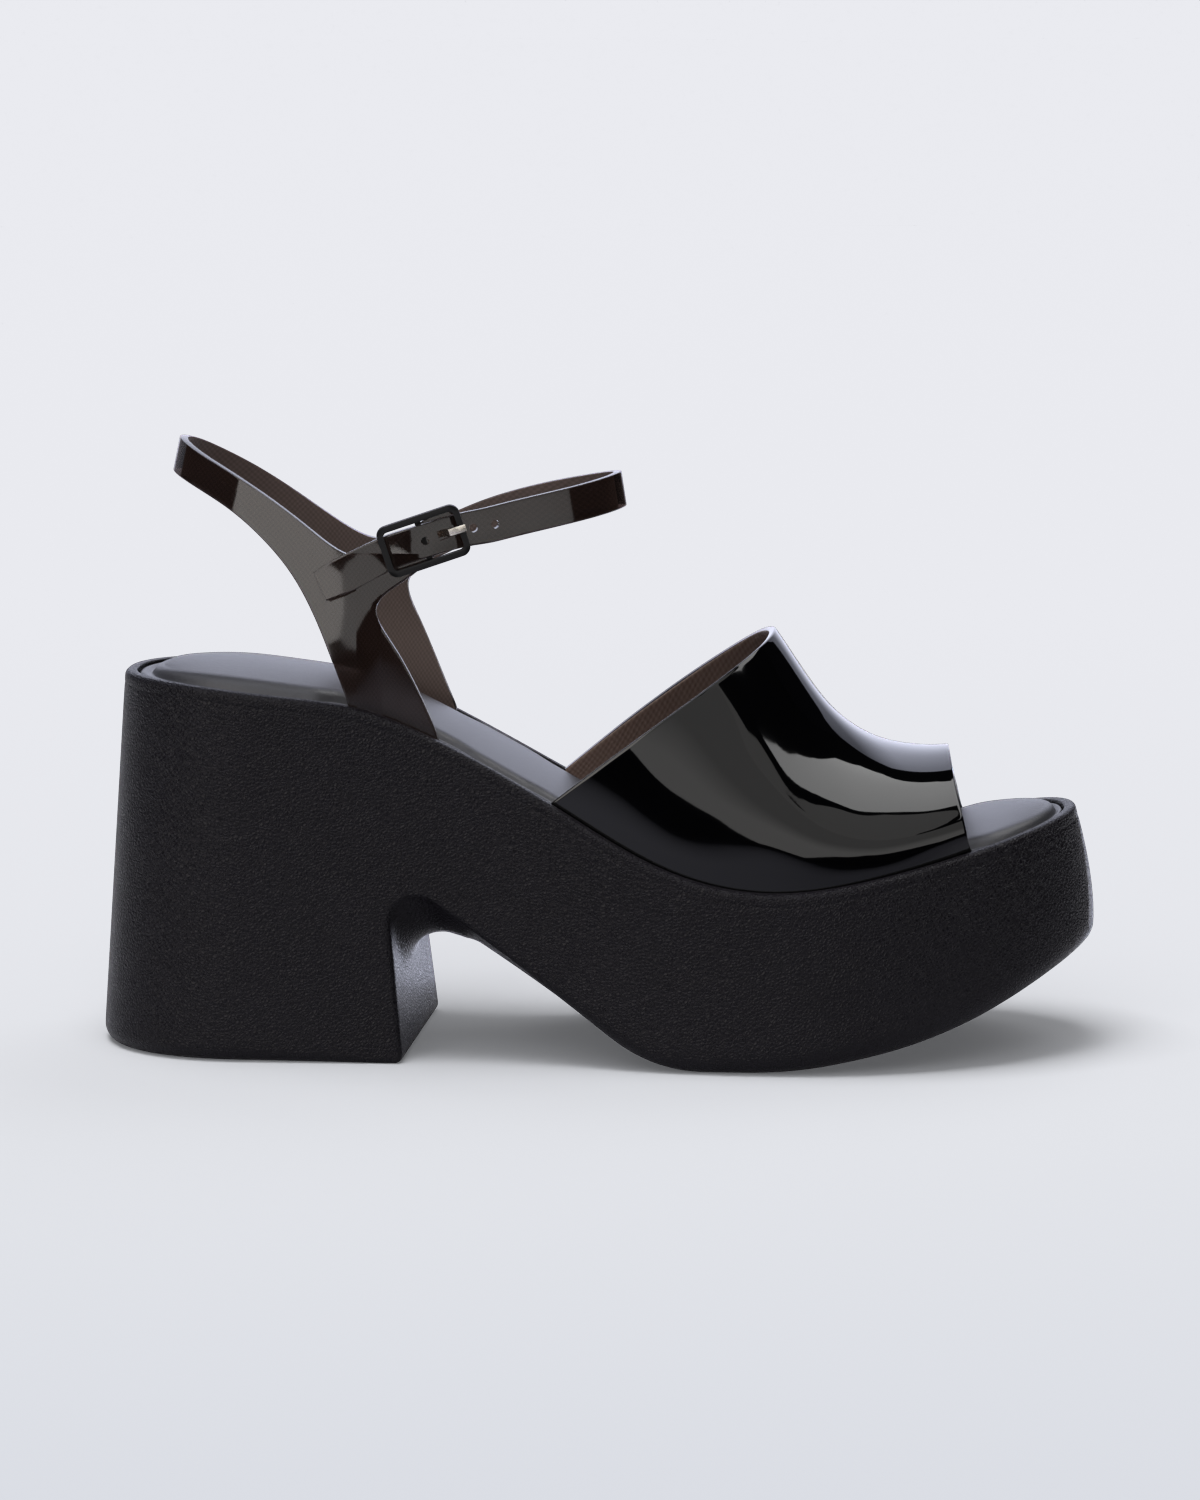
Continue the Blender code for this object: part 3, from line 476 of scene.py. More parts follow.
def cap(reach, squareness):
    """Share of the width left in a rounded end, 1 where it begins and 0 at its tip."""
    reach = min(max(reach, 0.0), 1.0)
    return (1 - reach ** squareness) ** (1 / squareness)


def outline(side, share, level):
    """Plan point of the sole's wall on one side, at a share of its length and a level."""
    share = min(max(share, 0.0), 1.0)
    floor_x = mix(HEEL_BACK, TOE_TIP, share)
    heel_reach = (HEEL_CAP_FROM - floor_x) / (HEEL_CAP_FROM - HEEL_BACK)
    toe_reach = (floor_x - TOE_CAP_FROM) / (TOE_TIP - TOE_CAP_FROM)
    half = HALF_PLAN[side](floor_x) - DRAFT(floor_x) * level
    half *= cap(heel_reach, HEEL_SQUARENESS) * cap(toe_reach, TOE_SQUARENESS[side])
    middle = TOE_INSWING * ease(floor_x / TOE_TIP)
    return mix(back_x(level), toe_x(level), share), middle + side * half


def inset_outline(side, share, level, inset):
    """The same plan point moved inwards, square to the outline."""
    x, y = outline(side, share, level)
    if share <= 0 or share >= 1:
        return x + (inset if share <= 0 else -inset), y
    reach = min(OUTLINE_STEP, share / 2, (1 - share) / 2)
    x0, y0 = outline(side, share - reach, level)
    x1, y1 = outline(side, share + reach, level)
    length = hypot(x1 - x0, y1 - y0)
    return x + side * (y1 - y0) / length * inset, y - side * (x1 - x0) / length * inset


def skew(x, y, z):
    """The heel breast stands a little further forward on the inner side."""
    near = np.exp(-((x - BREAST_X) / BREAST_SPREAD) ** 2)
    return x + BREAST_SKEW * y * near * (1 - z / RIM_Z(x))


def sole_point(side, x, z, inset=0.0):
    """Point of the sole's wall at x and z in side view, moved inwards by an inset."""
    level = min(max(z / RIM_Z(x), 0.0), 1.0)
    px, py = inset_outline(side, station(x, level), level, inset)
    return Vector((skew(px, py, z), py, z))


def rim_point(side, rim_x, inset, drop):
    """Point on or inside the lip: moved inwards from the rim and dropped below it."""
    x, y = inset_outline(side, station(rim_x, 1.0), 1.0, inset)
    return Vector((x, y, RIM_Z(x) - drop))


def round_corner(before, corner, after, radius, pieces):
    """Points of the arc that rounds a corner."""
    into = (before - corner).normalized()
    out = (after - corner).normalized()
    half = into.angle(out) / 2
    middle = corner + (into + out).normalized() * radius / sin(half)
    start = corner + into * radius / tan(half) - middle
    turn = pi - 2 * half
    sense = 1 if (into.x * out.y - into.y * out.x) < 0 else -1
    spots = []
    for piece in range(pieces + 1):
        angle = sense * turn * piece / pieces
        spots.append(middle + Vector((start.x * cos(angle) - start.y * sin(angle),
                                      start.x * sin(angle) + start.y * cos(angle))))
    return spots


def underside_profile(x_column, z_column, round_column):
    """Side view of the underside: its points, and how far each has come along the table's rows."""
    spots = [Vector((getattr(row, x_column), getattr(row, z_column))) for row in UNDERSIDE]
    last = len(spots) - 1
    points, progress = [spots[0]], [0.0]
    for row in range(last):
        if row + 1 < last:
            arc = round_corner(spots[row], spots[row + 1], spots[row + 2],
                               getattr(UNDERSIDE[row + 1], round_column), CORNER_PIECES)
        else:
            arc = [spots[last]]
        start, begin = points[-1], progress[-1]
        finish = row + 1 - (CORNER_SHARE if row + 1 < last else 0)
        legs = UNDERSIDE[row].legs
        for leg in range(1, legs):
            share = leg / legs
            if row == 0:
                share = 1 - cos(share * HALF_PI)
            if row == last - 1:
                share = sin(share * HALF_PI)
            points.append(start.lerp(arc[0], share))
            progress.append(mix(begin, finish, share))
        for piece, spot in enumerate(arc):
            points.append(spot)
            progress.append(finish + 2 * CORNER_SHARE * piece / CORNER_PIECES)
    return points, progress


def inward_normals(points):
    """Directions square to the underside, into the sole."""
    normals = []
    for index in range(len(points)):
        before = points[max(index - 1, 0)]
        after = points[min(index + 1, len(points) - 1)]
        along = (after - before).normalized()
        normals.append(Vector((-along.y, along.x)))
    normals[0] = Vector((0, 1))
    normals[-1] = Vector((0, 1))
    return normals


def sole_side(side, foot, normal, rim_x):
    """One side of a rib: tray edge, lip, parting line, wall and the round below it."""
    spots = [rim_point(side, rim_x, LIP_WIDTH, TRAY_DEPTH)]
    for piece in range(LIP_PIECES + 1):
        angle = HALF_PI * piece / LIP_PIECES
        spots.append(rim_point(side, rim_x, LIP_WIDTH - LIP_INNER_ROUND * (1 - cos(angle)),
                               LIP_INNER_ROUND * (1 - sin(angle))))
    for piece in range(LIP_PIECES + 1):
        angle = HALF_PI * piece / LIP_PIECES
        spots.append(rim_point(side, rim_x, LIP_ROUND * (1 - sin(angle)), LIP_ROUND * (1 - cos(angle))))
    top_z = RIM_Z(rim_x) - LIP_ROUND
    edge_round = EDGE_ROUND(foot.x)
    low = foot + normal * edge_round
    top_share = station(rim_x, 1.0)
    low_level = low.y / RIM_Z(low.x)
    low_share = station(low.x, low_level)
    parting = (PARTING_DROP - LIP_ROUND) / (top_z - low.y)
    half_width = PARTING_HALF_WIDTH / (top_z - low.y)
    course = [(parting - half_width, 0.0), (parting, PARTING_DEPTH), (parting + half_width, 0.0)]
    for piece in range(1, WALL_PIECES):
        course.append((mix(parting + half_width, 1.0, piece / WALL_PIECES), 0.0))
    for down, inset in course:
        level = mix(1.0, low_level, down)
        z = mix(top_z, low.y, down)
        x, y = inset_outline(side, mix(top_share, low_share, down), level, inset)
        spots.append(Vector((skew(x, y, z), y, z)))
    for piece in range(EDGE_PIECES + 1):
        angle = HALF_PI * (1 - piece / EDGE_PIECES)
        spot = foot + normal * edge_round * (1 - cos(angle))
        spots.append(sole_point(side, spot.x, spot.y, edge_round * (1 - sin(angle))))
    return spots


def sole_ribs():
    """Closed ribs of the sole from the back of the heel to the toe."""
    edge, progress = underside_profile("edge_x", "edge_z", "edge_round")
    keel, _ = underside_profile("keel_x", "keel_z", "keel_round")
    rim_rows = [row.rim_x for row in UNDERSIDE]
    normals = inward_normals(edge)
    ribs = []
    for foot, heart, normal, rows_done in zip(edge, keel, normals, progress):
        rim_x = float(np.interp(rows_done, range(len(rim_rows)), rim_rows))
        outer = sole_side(OUTER, foot, normal, rim_x)
        inner = sole_side(INNER, foot, normal, rim_x)
        rib = [inner[0].lerp(outer[0], piece / TRAY_PIECES) for piece in range(TRAY_PIECES)] + outer
        for piece in range(1, BOTTOM_PIECES):
            across = piece / BOTTOM_PIECES
            sag = 1 - abs(2 * across - 1) ** KEEL_FLATNESS
            spot = outer[-1].lerp(inner[-1], across)
            spot += Vector((heart.x - foot.x, 0, heart.y - foot.y)) * sag
            rib.append(spot)
        rib += reversed(inner)
        ribs.append(rib)
    return ribs


def pocket(x, reach):
    """Share of the pocket's depth that a strap's root takes from the footbed's edge at x."""
    return ease((x - reach[0]) / POCKET_EASE + 0.5) * ease((reach[1] - x) / POCKET_EASE + 0.5)


def footbed_side(side, share):
    """One side of a footbed section: underside, bead, pressed channel and the pad's shoulder."""
    x = outline(side, share, 1.0)[0]
    edge = LIP_WIDTH + GAP + (WALL + GAP) * max(pocket(x, QUARTER_POCKET), pocket(x, VAMP_POCKET))
    bottom = GAP - TRAY_DEPTH
    profile = [
        (edge + FLANGE_EDGE, bottom),
        (edge, bottom + FLANGE_EDGE),
        (edge, -FLANGE_DROP - FLANGE_EDGE),
    ]
    flange = mix(FLANGE_WIDTH, TOE_FLANGE_WIDTH, ease((x - TOE_FLANGE_FROM) / TOE_FLANGE_EASE))
    for bead in BEAD:
        profile.append((edge + bead.inset * flange / FLANGE_WIDTH, bead.lift - FLANGE_DROP))
    for step in SHOULDER:
        profile.append((edge + flange + step.inset, mix(-FLANGE_DROP, CROWN_RISE(x), step.up)))
    spots = []
    for inset, lift in profile:
        px, py = inset_outline(side, share, 1.0, inset)
        spots.append(Vector((px, py, RIM_Z(px) + lift)))
    return spots


def footbed_ribs():
    """Closed ribs of the footbed, its pad crowned between the two shoulders."""
    ribs = []
    for row in range(FOOTBED_STATIONS + 1):
        share = (1 - cos(pi * row / FOOTBED_STATIONS)) / 2
        outer = footbed_side(OUTER, share)
        inner = footbed_side(INNER, share)
        fullness = ease((inner[-1].y - outer[-1].y) / CROWN_SPREAD)
        rib = list(outer)
        for piece in range(1, ACROSS_PIECES):
            across = piece / ACROSS_PIECES
            spot = outer[-1].lerp(inner[-1], across)
            crown = RIM_Z(spot.x) + CROWN_RISE(spot.x)
            spot.z = mix(spot.z, crown, fullness * (1 - (2 * across - 1) ** 2))
            rib.append(spot)
        rib += reversed(inner)
        rib.append(inner[0].lerp(outer[0], 0.5))
        ribs.append(rib)
    return ribs


Spot = namedtuple("Spot", "x y")


def slot_line(side):
    """Plan line of a wall's middle that stands in the slot between lip and footbed."""
    middle = LIP_WIDTH + GAP + WALL / 2
    shares = np.linspace(SLOT_FROM, SLOT_TO, SLOT_SPOTS)
    return batten([Spot(*inset_outline(side, share, 1.0, middle)) for share in shares], "y")


SLOT_Y = {OUTER: slot_line(OUTER), INNER: slot_line(INNER)}


def last_point(side, x, angle):
    """Point of the last's forepart: a section at x, turned up from the slot to the crest."""
    power = 2 / SECTION_SQUARENESS
    y = mix(CREST_SIDE_SHIFT, SLOT_Y[side](x), max(cos(angle), 0.0) ** power)
    return Vector((x, y, mix(RIM_Z(x), CREST_Z(x), max(sin(angle), 0.0) ** power)))


def hump(distance):
    """Soft bump of height 1 that ends at a distance of 1."""
    return max(1 - distance * distance, 0.0) ** 2


def swell(x, angle):
    """How far the toe band stands out from the last, nothing at its root."""
    total = 0.0
    for place, row in zip(SWELL_PLACES, SWELLS):
        near = hump((x - place) / SWELL_REACH)
        for turn, height in zip(SWELL_TURNS, row):
            beyond = hump((pi - angle - turn) / SWELL_SPREAD)
            total += height * near * (hump((angle - turn) / SWELL_SPREAD) + beyond)
    return total * ease(angle / SWELL_ROOT)


def band_point(side, x, angle):
    """Point of the toe band's middle: the last's, moved outwards by the band's swells."""
    along = last_point(side, x + SWELL_STEP, angle) - last_point(side, x - SWELL_STEP, angle)
    low, high = max(angle - SWELL_TURN_STEP, 0.0), min(angle + SWELL_TURN_STEP, HALF_PI)
    up = last_point(side, x, high) - last_point(side, x, low)
    out = along.cross(up).normalized() * -side
    return last_point(side, x, angle) + out * swell(x, angle)


def throat_angle(x, share_up):
    """Angle on the last where the throat's slightly bowed cut meets the section at x."""
    base, crest = RIM_Z(x), CREST_Z(x)
    chord = mix(RIM_Z(THROAT_BASE_X), CREST_Z(THROAT_CREST_X), share_up)
    bow = THROAT_BOW * 4 * share_up * (1 - share_up)
    height = min(max((chord + bow - base) / (crest - base), 0.0), 1.0)
    return asin(min(height ** (SECTION_SQUARENESS / 2), 1.0))


def vamp_point(side, along, up):
    """Middle of the toe band's wall: along from throat to toe, up from the slot to the crest."""
    throat_x = mix(THROAT_BASE_X, THROAT_CREST_X, up)
    mouth_x = mix(MOUTH_BASE_X, MOUTH_CREST_X, up ** MOUTH_CURVE)
    cut = throat_angle(throat_x, up)
    return band_point(side, mix(throat_x, mouth_x, along), mix(cut, asin(up), along))


def vamp_row(side, up):
    """One row of the toe band from throat to toe, with lines of points close to both rims."""
    length = mix(MOUTH_BASE_X, MOUTH_CREST_X, up) - mix(THROAT_BASE_X, THROAT_CREST_X, up)
    ends = [line / length for line in RIM_LINES]
    shares = [0.0] + ends
    shares += list(np.linspace(ends[-1], 1 - ends[-1], VAMP_LENGTH_PIECES + 1))[1:-1]
    shares += [1 - end for end in reversed(ends)] + [1.0]
    return [vamp_point(side, share, up) for share in shares]


def vamp_rows():
    """Rows of the toe band from the outer root over the crest to the inner root."""
    rows = []
    for side in (OUTER, INNER):
        half = [[spot - Vector((0, 0, VAMP_ROOT)) for spot in vamp_row(side, 0.0)]]
        for turn in np.linspace(0, HALF_PI, VAMP_HALF_PIECES + 1):
            half.append(vamp_row(side, sin(turn)))
        rows += half if side == OUTER else half[-2::-1]
    return rows


def ankle_point(turn, z, stand_off=0.0):
    """Point of the ankle form: turn 0 is the outer side, 90 the shin, 180 the inner side, -90 the heel."""
    forward = sin(radians(turn))
    if forward >= 0:
        reach = SHIN_REACH + SHIN_LEAN * (SHIN_LEVEL - z)
    else:
        reach = HEEL_REACH + HEEL_LEAN * (HEEL_LEVEL - z)
    x = ANKLE_X + (reach + stand_off) * forward
    y = -(ANKLE_HALF_WIDTH + stand_off) * cos(radians(turn))
    return Vector((x, y, z))


def quarter_point(side, turn, z):
    """Point of the heel band: at its root it stands in the slot, higher up on the ankle form."""
    spot = ankle_point(-turn if side == OUTER else 180 + turn, z)
    free = ease((z - RIM_Z(spot.x) - COLLAR_RISE) / ROOT_BLEND)
    spot.y = mix(SLOT_Y[side](spot.x), spot.y, free)
    return spot


def band_rows(side):
    """Rows of the heel band on one side, from the bottom of its root to the back of the heel."""
    rows = []
    for band in HEEL_BAND:
        row = []
        for piece in range(BAND_PIECES + 1):
            share = piece / BAND_PIECES
            front_turn = band.front_turn + (band.outer_cut if side == OUTER else 0.0)
            drop = band.inner_drop if side == INNER else 0.0
            row.append(quarter_point(side, mix(band.rear_turn, front_turn, share),
                                     mix(band.rear_z, band.front_z, share) - drop))
        rows.append(row)
    for spot in rows[0]:
        spot.z = RIM_Z(spot.x)
    root = [spot - Vector((0, 0, SLING_ROOT)) for spot in rows[0]]
    collar = [low.lerp(high, COLLAR_SHARE) for low, high in zip(rows[0], rows[1])]
    for spot in collar:
        spot.y = SLOT_Y[side](spot.x)
    return [root, rows[0], collar] + rows[1:]


def strap_row(side, strap):
    """Three points across a strap: upper edge, middle line and lower edge."""
    middle_turn = strap.turn if side == OUTER else 180 - strap.turn
    middle = ankle_point(middle_turn, strap.z, strap.stand_off)
    ahead = ankle_point(middle_turn + 0.5, strap.z, strap.stand_off) - middle
    ahead.normalize()
    rise = radians(strap.slope if side == INNER else -strap.slope)
    forward = -ahead if side == INNER else ahead
    out = ahead.cross(Vector((0, 0, 1)))
    lean = STRAP_LEAN * max(sin(radians(middle_turn)), 0.0) ** 2
    across = Vector((0, 0, 1)) * cos(rise) - forward * sin(rise) - out * lean
    return [middle + across * strap.half_width, middle, middle - across * strap.half_width]


def buckle_place():
    """Place of the buckle: its axes run along the strap, across it, and out from the ankle."""
    middle = ankle_point(BUCKLE_TURN, BUCKLE_Z)
    ahead = (ankle_point(BUCKLE_TURN + 1, BUCKLE_Z) - middle).normalized()
    out = ahead.cross(Vector((0, 0, 1))).normalized()
    tilt = radians(BUCKLE_TILT)
    along = ahead * cos(tilt) + Vector((0, 0, 1)) * sin(tilt)
    axes = Matrix((along, out.cross(along), out)).transposed().to_4x4()
    return Matrix.Translation(middle * MM) @ axes


# Bench work: starting, shaping and finishing a piece


def start(name, add_primitive, **sizes):
    """Adds a primitive with nothing else selected, and names it."""
    bpy.ops.object.select_all(action="DESELECT")
    add_primitive(**sizes)
    piece = bpy.context.object
    piece.name = name
    piece.data.name = name
    return piece


def start_sheet(name, rows):
    """Adds a flat grid and lays it on rows of points, one grid line on each row."""
    piece = start(name, bpy.ops.mesh.primitive_grid_add, x_subdivisions=len(rows[0]) - 1,
                  y_subdivisions=len(rows) - 1, size=1)
    spots = np.array([spot[:] for row in rows for spot in row]) * MM
    piece.data.vertices.foreach_set("co", spots.ravel())
    piece.data.update()
    return piece


def select(piece, kind, test):
    """Goes into edit mode with only those vertices, edges or faces selected that pass a test."""
    bpy.ops.object.select_all(action="DESELECT")
    piece.select_set(True)
    bpy.context.view_layer.objects.active = piece
    bpy.ops.object.mode_set(mode="EDIT")
    bpy.ops.mesh.select_mode(type=kind)
    bpy.ops.mesh.select_all(action="DESELECT")
    bpy.ops.object.mode_set(mode="OBJECT")
    items = {"VERT": piece.data.vertices, "EDGE": piece.data.edges, "FACE": piece.data.polygons}[kind]
    for item in items:
        item.select = test(item)
    bpy.ops.object.mode_set(mode="EDIT")


def leave_edit():
    bpy.ops.object.mode_set(mode="OBJECT")


def weld(piece):
    """Merges doubled points and turns all faces outwards."""
    select(piece, "VERT", lambda vertex: True)
    bpy.ops.mesh.remove_doubles(threshold=WELD)
    bpy.ops.mesh.dissolve_degenerate(threshold=WELD / 2)
    bpy.ops.mesh.normals_make_consistent(inside=False)
    leave_edit()


def finish_with(piece, kind, **settings):
    """Adds a modifier, sets it and applies it."""
    bpy.ops.object.select_all(action="DESELECT")
    piece.select_set(True)
    bpy.context.view_layer.objects.active = piece
    modifier = piece.modifiers.new(kind.lower(), kind)
    for name, value in settings.items():
        setattr(modifier, name, value)
    bpy.ops.object.modifier_apply(modifier=modifier.name)


def smooth(piece, angle=SMOOTH_ANGLE):
    bpy.ops.object.select_all(action="DESELECT")
    piece.select_set(True)
    bpy.context.view_layer.objects.active = piece
    bpy.ops.object.shade_smooth_by_angle(angle=angle)


def subdivide(piece, levels):
    finish_with(piece, "SUBSURF", levels=levels, render_levels=levels)


def make_wall(piece, outside, inside):
    """Gives a sheet its thickness, the lining on its inside, and rounded rims."""
    piece.data.materials.append(outside)
    piece.data.materials.append(inside)
    finish_with(piece, "SOLIDIFY", thickness=WALL * MM, offset=0.0, use_even_offset=True, material_offset=1)
    finish_with(piece, "BEVEL", width=RIM_ROUND * MM, segments=RIM_SEGMENTS, limit_method="ANGLE",
                angle_limit=RIM_ANGLE, harden_normals=False)


def cut(piece, cutter):
    """Cuts one piece with another, which is used up."""
    finish_with(piece, "BOOLEAN", operation="DIFFERENCE", solver="EXACT", object=cutter)
    bpy.data.objects.remove(cutter, do_unlink=True)


def hand_over(piece, node):
    """Puts a finished piece in the place of its solid."""
    smooth(piece)
    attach(piece, "root")
    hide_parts(node)


# Materials


def linear(code):
    """Linear colour of an sRGB hex code."""
    parts = [int(code[place:place + 2], 16) / 255 for place in (1, 3, 5)]
    return [part / 12.92 if part <= 0.04045 else ((part + 0.055) / 1.055) ** 2.4 for part in parts] + [1.0]


def node(tree, kind, values=None, links=None, **settings):
    """Adds a shader node, sets it up and links its inputs from other nodes' outputs."""
    made = tree.nodes.new("ShaderNode" + kind)
    for name, value in settings.items():
        setattr(made, name, value)
    for name, value in (values or {}).items():
        made.inputs[name].default_value = value
    for name, source in (links or {}).items():
        giver, output = source if isinstance(source, tuple) else (source, 0)
        tree.links.new(giver.outputs[output], made.inputs[name])
    return made


def start_material(name):
    """A new material with its shader, its node tree and its object coordinates."""
    material = bpy.data.materials.new(name)
    material.use_nodes = True
    tree = material.node_tree
    return material, tree, tree.nodes["Principled BSDF"], node(tree, "TexCoord")


def dress(tree, shader, links, values):
    """Links a shader's inputs to nodes, and sets those that are the same all over."""
    for name, giver in links.items():
        tree.links.new(giver.outputs[0], shader.inputs[name])
    for name, value in values.items():
        shader.inputs[name].default_value = value


def per_mm(size):
    """Texture scale of a pattern that repeats every so many millimetres."""
    return 1 / (size * MM)


def span(start, end, first=0.0, last=1.0):
    """Values of a node that turns one range into another."""
    return {"From Min": start, "From Max": end, "To Min": first, "To Max": last}


def lean_span(lean):
    return span(lean.start * MM, lean.end * MM, lean.first, lean.last)


def grained_eva_foam():
    """Moulded in a grained mould: pebbles of about a millimetre between fine creases, and a soft sheen."""
    material, tree, shader, place = start_material("eva_foam_grain_moulded")
    warp = node(tree, "TexNoise", {"Scale": per_mm(2.0), "Detail": 2.0}, {"Vector": (place, "Object")})
    bent = node(tree, "VectorMath", {1: (0.0009, 0.0009, 0.0009)}, {0: (warp, "Color")}, operation="MULTIPLY")
    moved = node(tree, "VectorMath", links={0: (place, "Object"), 1: bent}, operation="ADD")
    pebble = node(tree, "TexVoronoi", {"Scale": per_mm(0.9)}, {"Vector": moved}, feature="DISTANCE_TO_EDGE")
    crease = node(tree, "MapRange", {"From Max": 0.32}, {"Value": (pebble, "Distance")},
                  interpolation_type="SMOOTHSTEP")
    tooth = node(tree, "TexNoise", {"Scale": per_mm(0.5), "Detail": 3.0}, {"Vector": (place, "Object")})
    height = node(tree, "Math", {1: 0.35}, {0: tooth, 2: crease}, operation="MULTIPLY_ADD")
    bump = node(tree, "Bump", {"Strength": 0.7, "Distance": 0.0002}, {"Height": height})
    cloud = node(tree, "TexNoise", {"Scale": per_mm(18), "Detail": 3.0}, {"Vector": (place, "Object")})
    tone = node(tree, "MixRGB", {1: linear("#0C090E"), 2: linear("#120F15")}, {0: cloud})
    worn = node(tree, "MapRange", {"To Min": 0.42, "To Max": 0.29}, {"Value": crease})
    dress(tree, shader, {"Base Color": tone, "Roughness": worn, "Normal": bump}, {"Specular IOR Level": 0.17})
    return material


def padded_microfibre():
    """Coated microfibre over foam: a dry, even charcoal with a fine tooth, drawn coarse so that it shows."""
    material, tree, shader, place = start_material("coated_microfibre_pressed")
    tooth = node(tree, "TexNoise", {"Scale": per_mm(0.9), "Detail": 4.0, "Roughness": 0.7},
                 {"Vector": (place, "Object")})
    bump = node(tree, "Bump", {"Strength": 0.8, "Distance": 0.00014}, {"Height": tooth})
    tone = node(tree, "MixRGB", {1: linear("#27272B"), 2: linear("#343439")}, {0: tooth})
    dress(tree, shader, {"Base Color": tone, "Normal": bump}, {"Roughness": 0.42, "Specular IOR Level": 0.6})
    return material


def polished_black_pvc():
    """Injected in a polished mould: mirror gloss whose reflections waver a little."""
    material, tree, shader, place = start_material("pvc_black_polished_mould")
    sway = node(tree, "TexNoise", {"Scale": per_mm(14), "Detail": 1.0}, {"Vector": (place, "Object")})
    bump = node(tree, "Bump", {"Strength": 0.05, "Distance": 0.0003}, {"Height": sway})
    rough = node(tree, "MapRange", {"To Min": 0.02, "To Max": 0.05}, {"Value": sway})
    dress(tree, shader, {"Roughness": rough, "Normal": bump}, {"Base Color": linear("#050506")})
    return material


def weave_height(tree, place, thread, axis):
    """Plain weave of a thread pitch, wound round an upright ankle or round the toes."""
    apart = node(tree, "SeparateXYZ", links={0: (place, "Object")})
    if axis == "ankle":
        ahead = node(tree, "Math", {1: -ANKLE_X * MM}, {0: (apart, "X")}, operation="ADD")
        turn = node(tree, "Math", links={0: (apart, "Y"), 1: ahead}, operation="ARCTAN2")
        straight = (apart, "Z")
        radius = ANKLE_WEAVE_RADIUS
    else:
        raised = node(tree, "Math", {1: -TOE_WEAVE_LEVEL * MM}, {0: (apart, "Z")}, operation="ADD")
        turn = node(tree, "Math", links={0: (apart, "Y"), 1: raised}, operation="ARCTAN2")
        straight = (apart, "X")
        radius = TOE_WEAVE_RADIUS
    waves = []
    for source, size in ((turn, thread / radius), (straight, thread * MM)):
        phase = node(tree, "Math", {1: pi / size}, {0: source}, operation="MULTIPLY")
        waves.append(node(tree, "Math", links={0: phase}, operation="SINE"))
    return node(tree, "Math", links={0: waves[0], 1: waves[1]}, operation="MULTIPLY")


def let_through(tree, shader, share, code):
    """Lets a share of the light pass straight through a thin tinted wall."""
    clear = node(tree, "BsdfTransparent", {"Color": linear(code)})
    both = node(tree, "MixShader", {0: share}, {1: shader, 2: clear})
    tree.links.new(both.outputs[0], tree.nodes["Material Output"].inputs["Surface"])


def woven_lining(axis, dark, pale, share):
    """Brown nylon cloth moulded into the wall's inside: a dull plain weave, drawn coarse so that it shows."""
    material, tree, shader, place = start_material("nylon_lining_woven_" + axis)
    height = weave_height(tree, place, LINING_THREAD, axis)
    lit = node(tree, "MapRange", {"From Min": -1.0}, {"Value": height})
    bump = node(tree, "Bump", {"Strength": 0.3, "Distance": 0.0001}, {"Height": height})
    tone = node(tree, "MixRGB", {1: linear(dark), 2: linear(pale)}, {0: lit})
    dress(tree, shader, {"Base Color": tone, "Normal": bump}, {"Roughness": 0.6, "Specular IOR Level": 0.3})
    if share:
        let_through(tree, shader, share, "#FFEFE6")
    return material


def smoky_pvc():
    """Smoke-tinted PVC over the woven lining: glossy, with some daylight through it.

    Its bump turns the shine as on a wall that leans in upwards, less so on the quarter's front.
    """
    material, tree, shader, place = start_material("pvc_smoke_polished_mould")
    height = weave_height(tree, place, SMOKE_THREAD, "ankle")
    lit = node(tree, "MapRange", {"From Min": -1.0}, {"Value": height})
    tone = node(tree, "MixRGB", {1: linear("#151212"), 2: linear("#1F1A18")}, {0: lit})
    sway = node(tree, "TexNoise", {"Scale": per_mm(10), "Detail": 1.0}, {"Vector": (place, "Object")})
    apart = node(tree, "SeparateXYZ", links={0: (place, "Object")})
    quarter = node(tree, "MapRange", lean_span(QUARTER_LEAN), {"Value": (apart, "Z")},
                   interpolation_type="SMOOTHSTEP")
    strap = node(tree, "MapRange", lean_span(INSTEP_LEAN), {"Value": (apart, "Z")})
    front = node(tree, "MapRange", lean_span(FRONT_LEAN), {"Value": (apart, "X")})
    under = node(tree, "MapRange", lean_span(UNDER_TAIL), {"Value": (apart, "Y")})
    kept = node(tree, "Math", {2: 1.0}, {0: front, 1: under}, operation="MULTIPLY_ADD")
    lean = node(tree, "Math", links={0: quarter, 1: kept, 2: strap}, operation="MULTIPLY_ADD")
    swayed = node(tree, "Math", {1: 0.04}, {0: sway, 2: lean}, operation="MULTIPLY_ADD")
    bump = node(tree, "Bump", {"Strength": 1.0, "Distance": MM}, {"Height": swayed})
    dress(tree, shader, {"Base Color": tone, "Normal": bump}, {"Roughness": 0.06, "Specular IOR Level": 0.66})
    let_through(tree, shader, 0.26, "#FFE9DE")
    return material


def matt_black_enamel():
    """Sprayed on the cast buckle: an even matt black with a fine orange peel."""
    material, tree, shader, place = start_material("enamel_black_sprayed_matt")
    peel = node(tree, "TexNoise", {"Scale": per_mm(0.6), "Detail": 2.0}, {"Vector": (place, "Object")})
    bump = node(tree, "Bump", {"Strength": 0.2, "Distance": 0.00005}, {"Height": peel})
    rough = node(tree, "MapRange", {"To Min": 0.38, "To Max": 0.5}, {"Value": peel})
    dress(tree, shader, {"Roughness": rough, "Normal": bump},
          {"Base Color": linear("#070708"), "Specular IOR Level": 0.3})
    return material


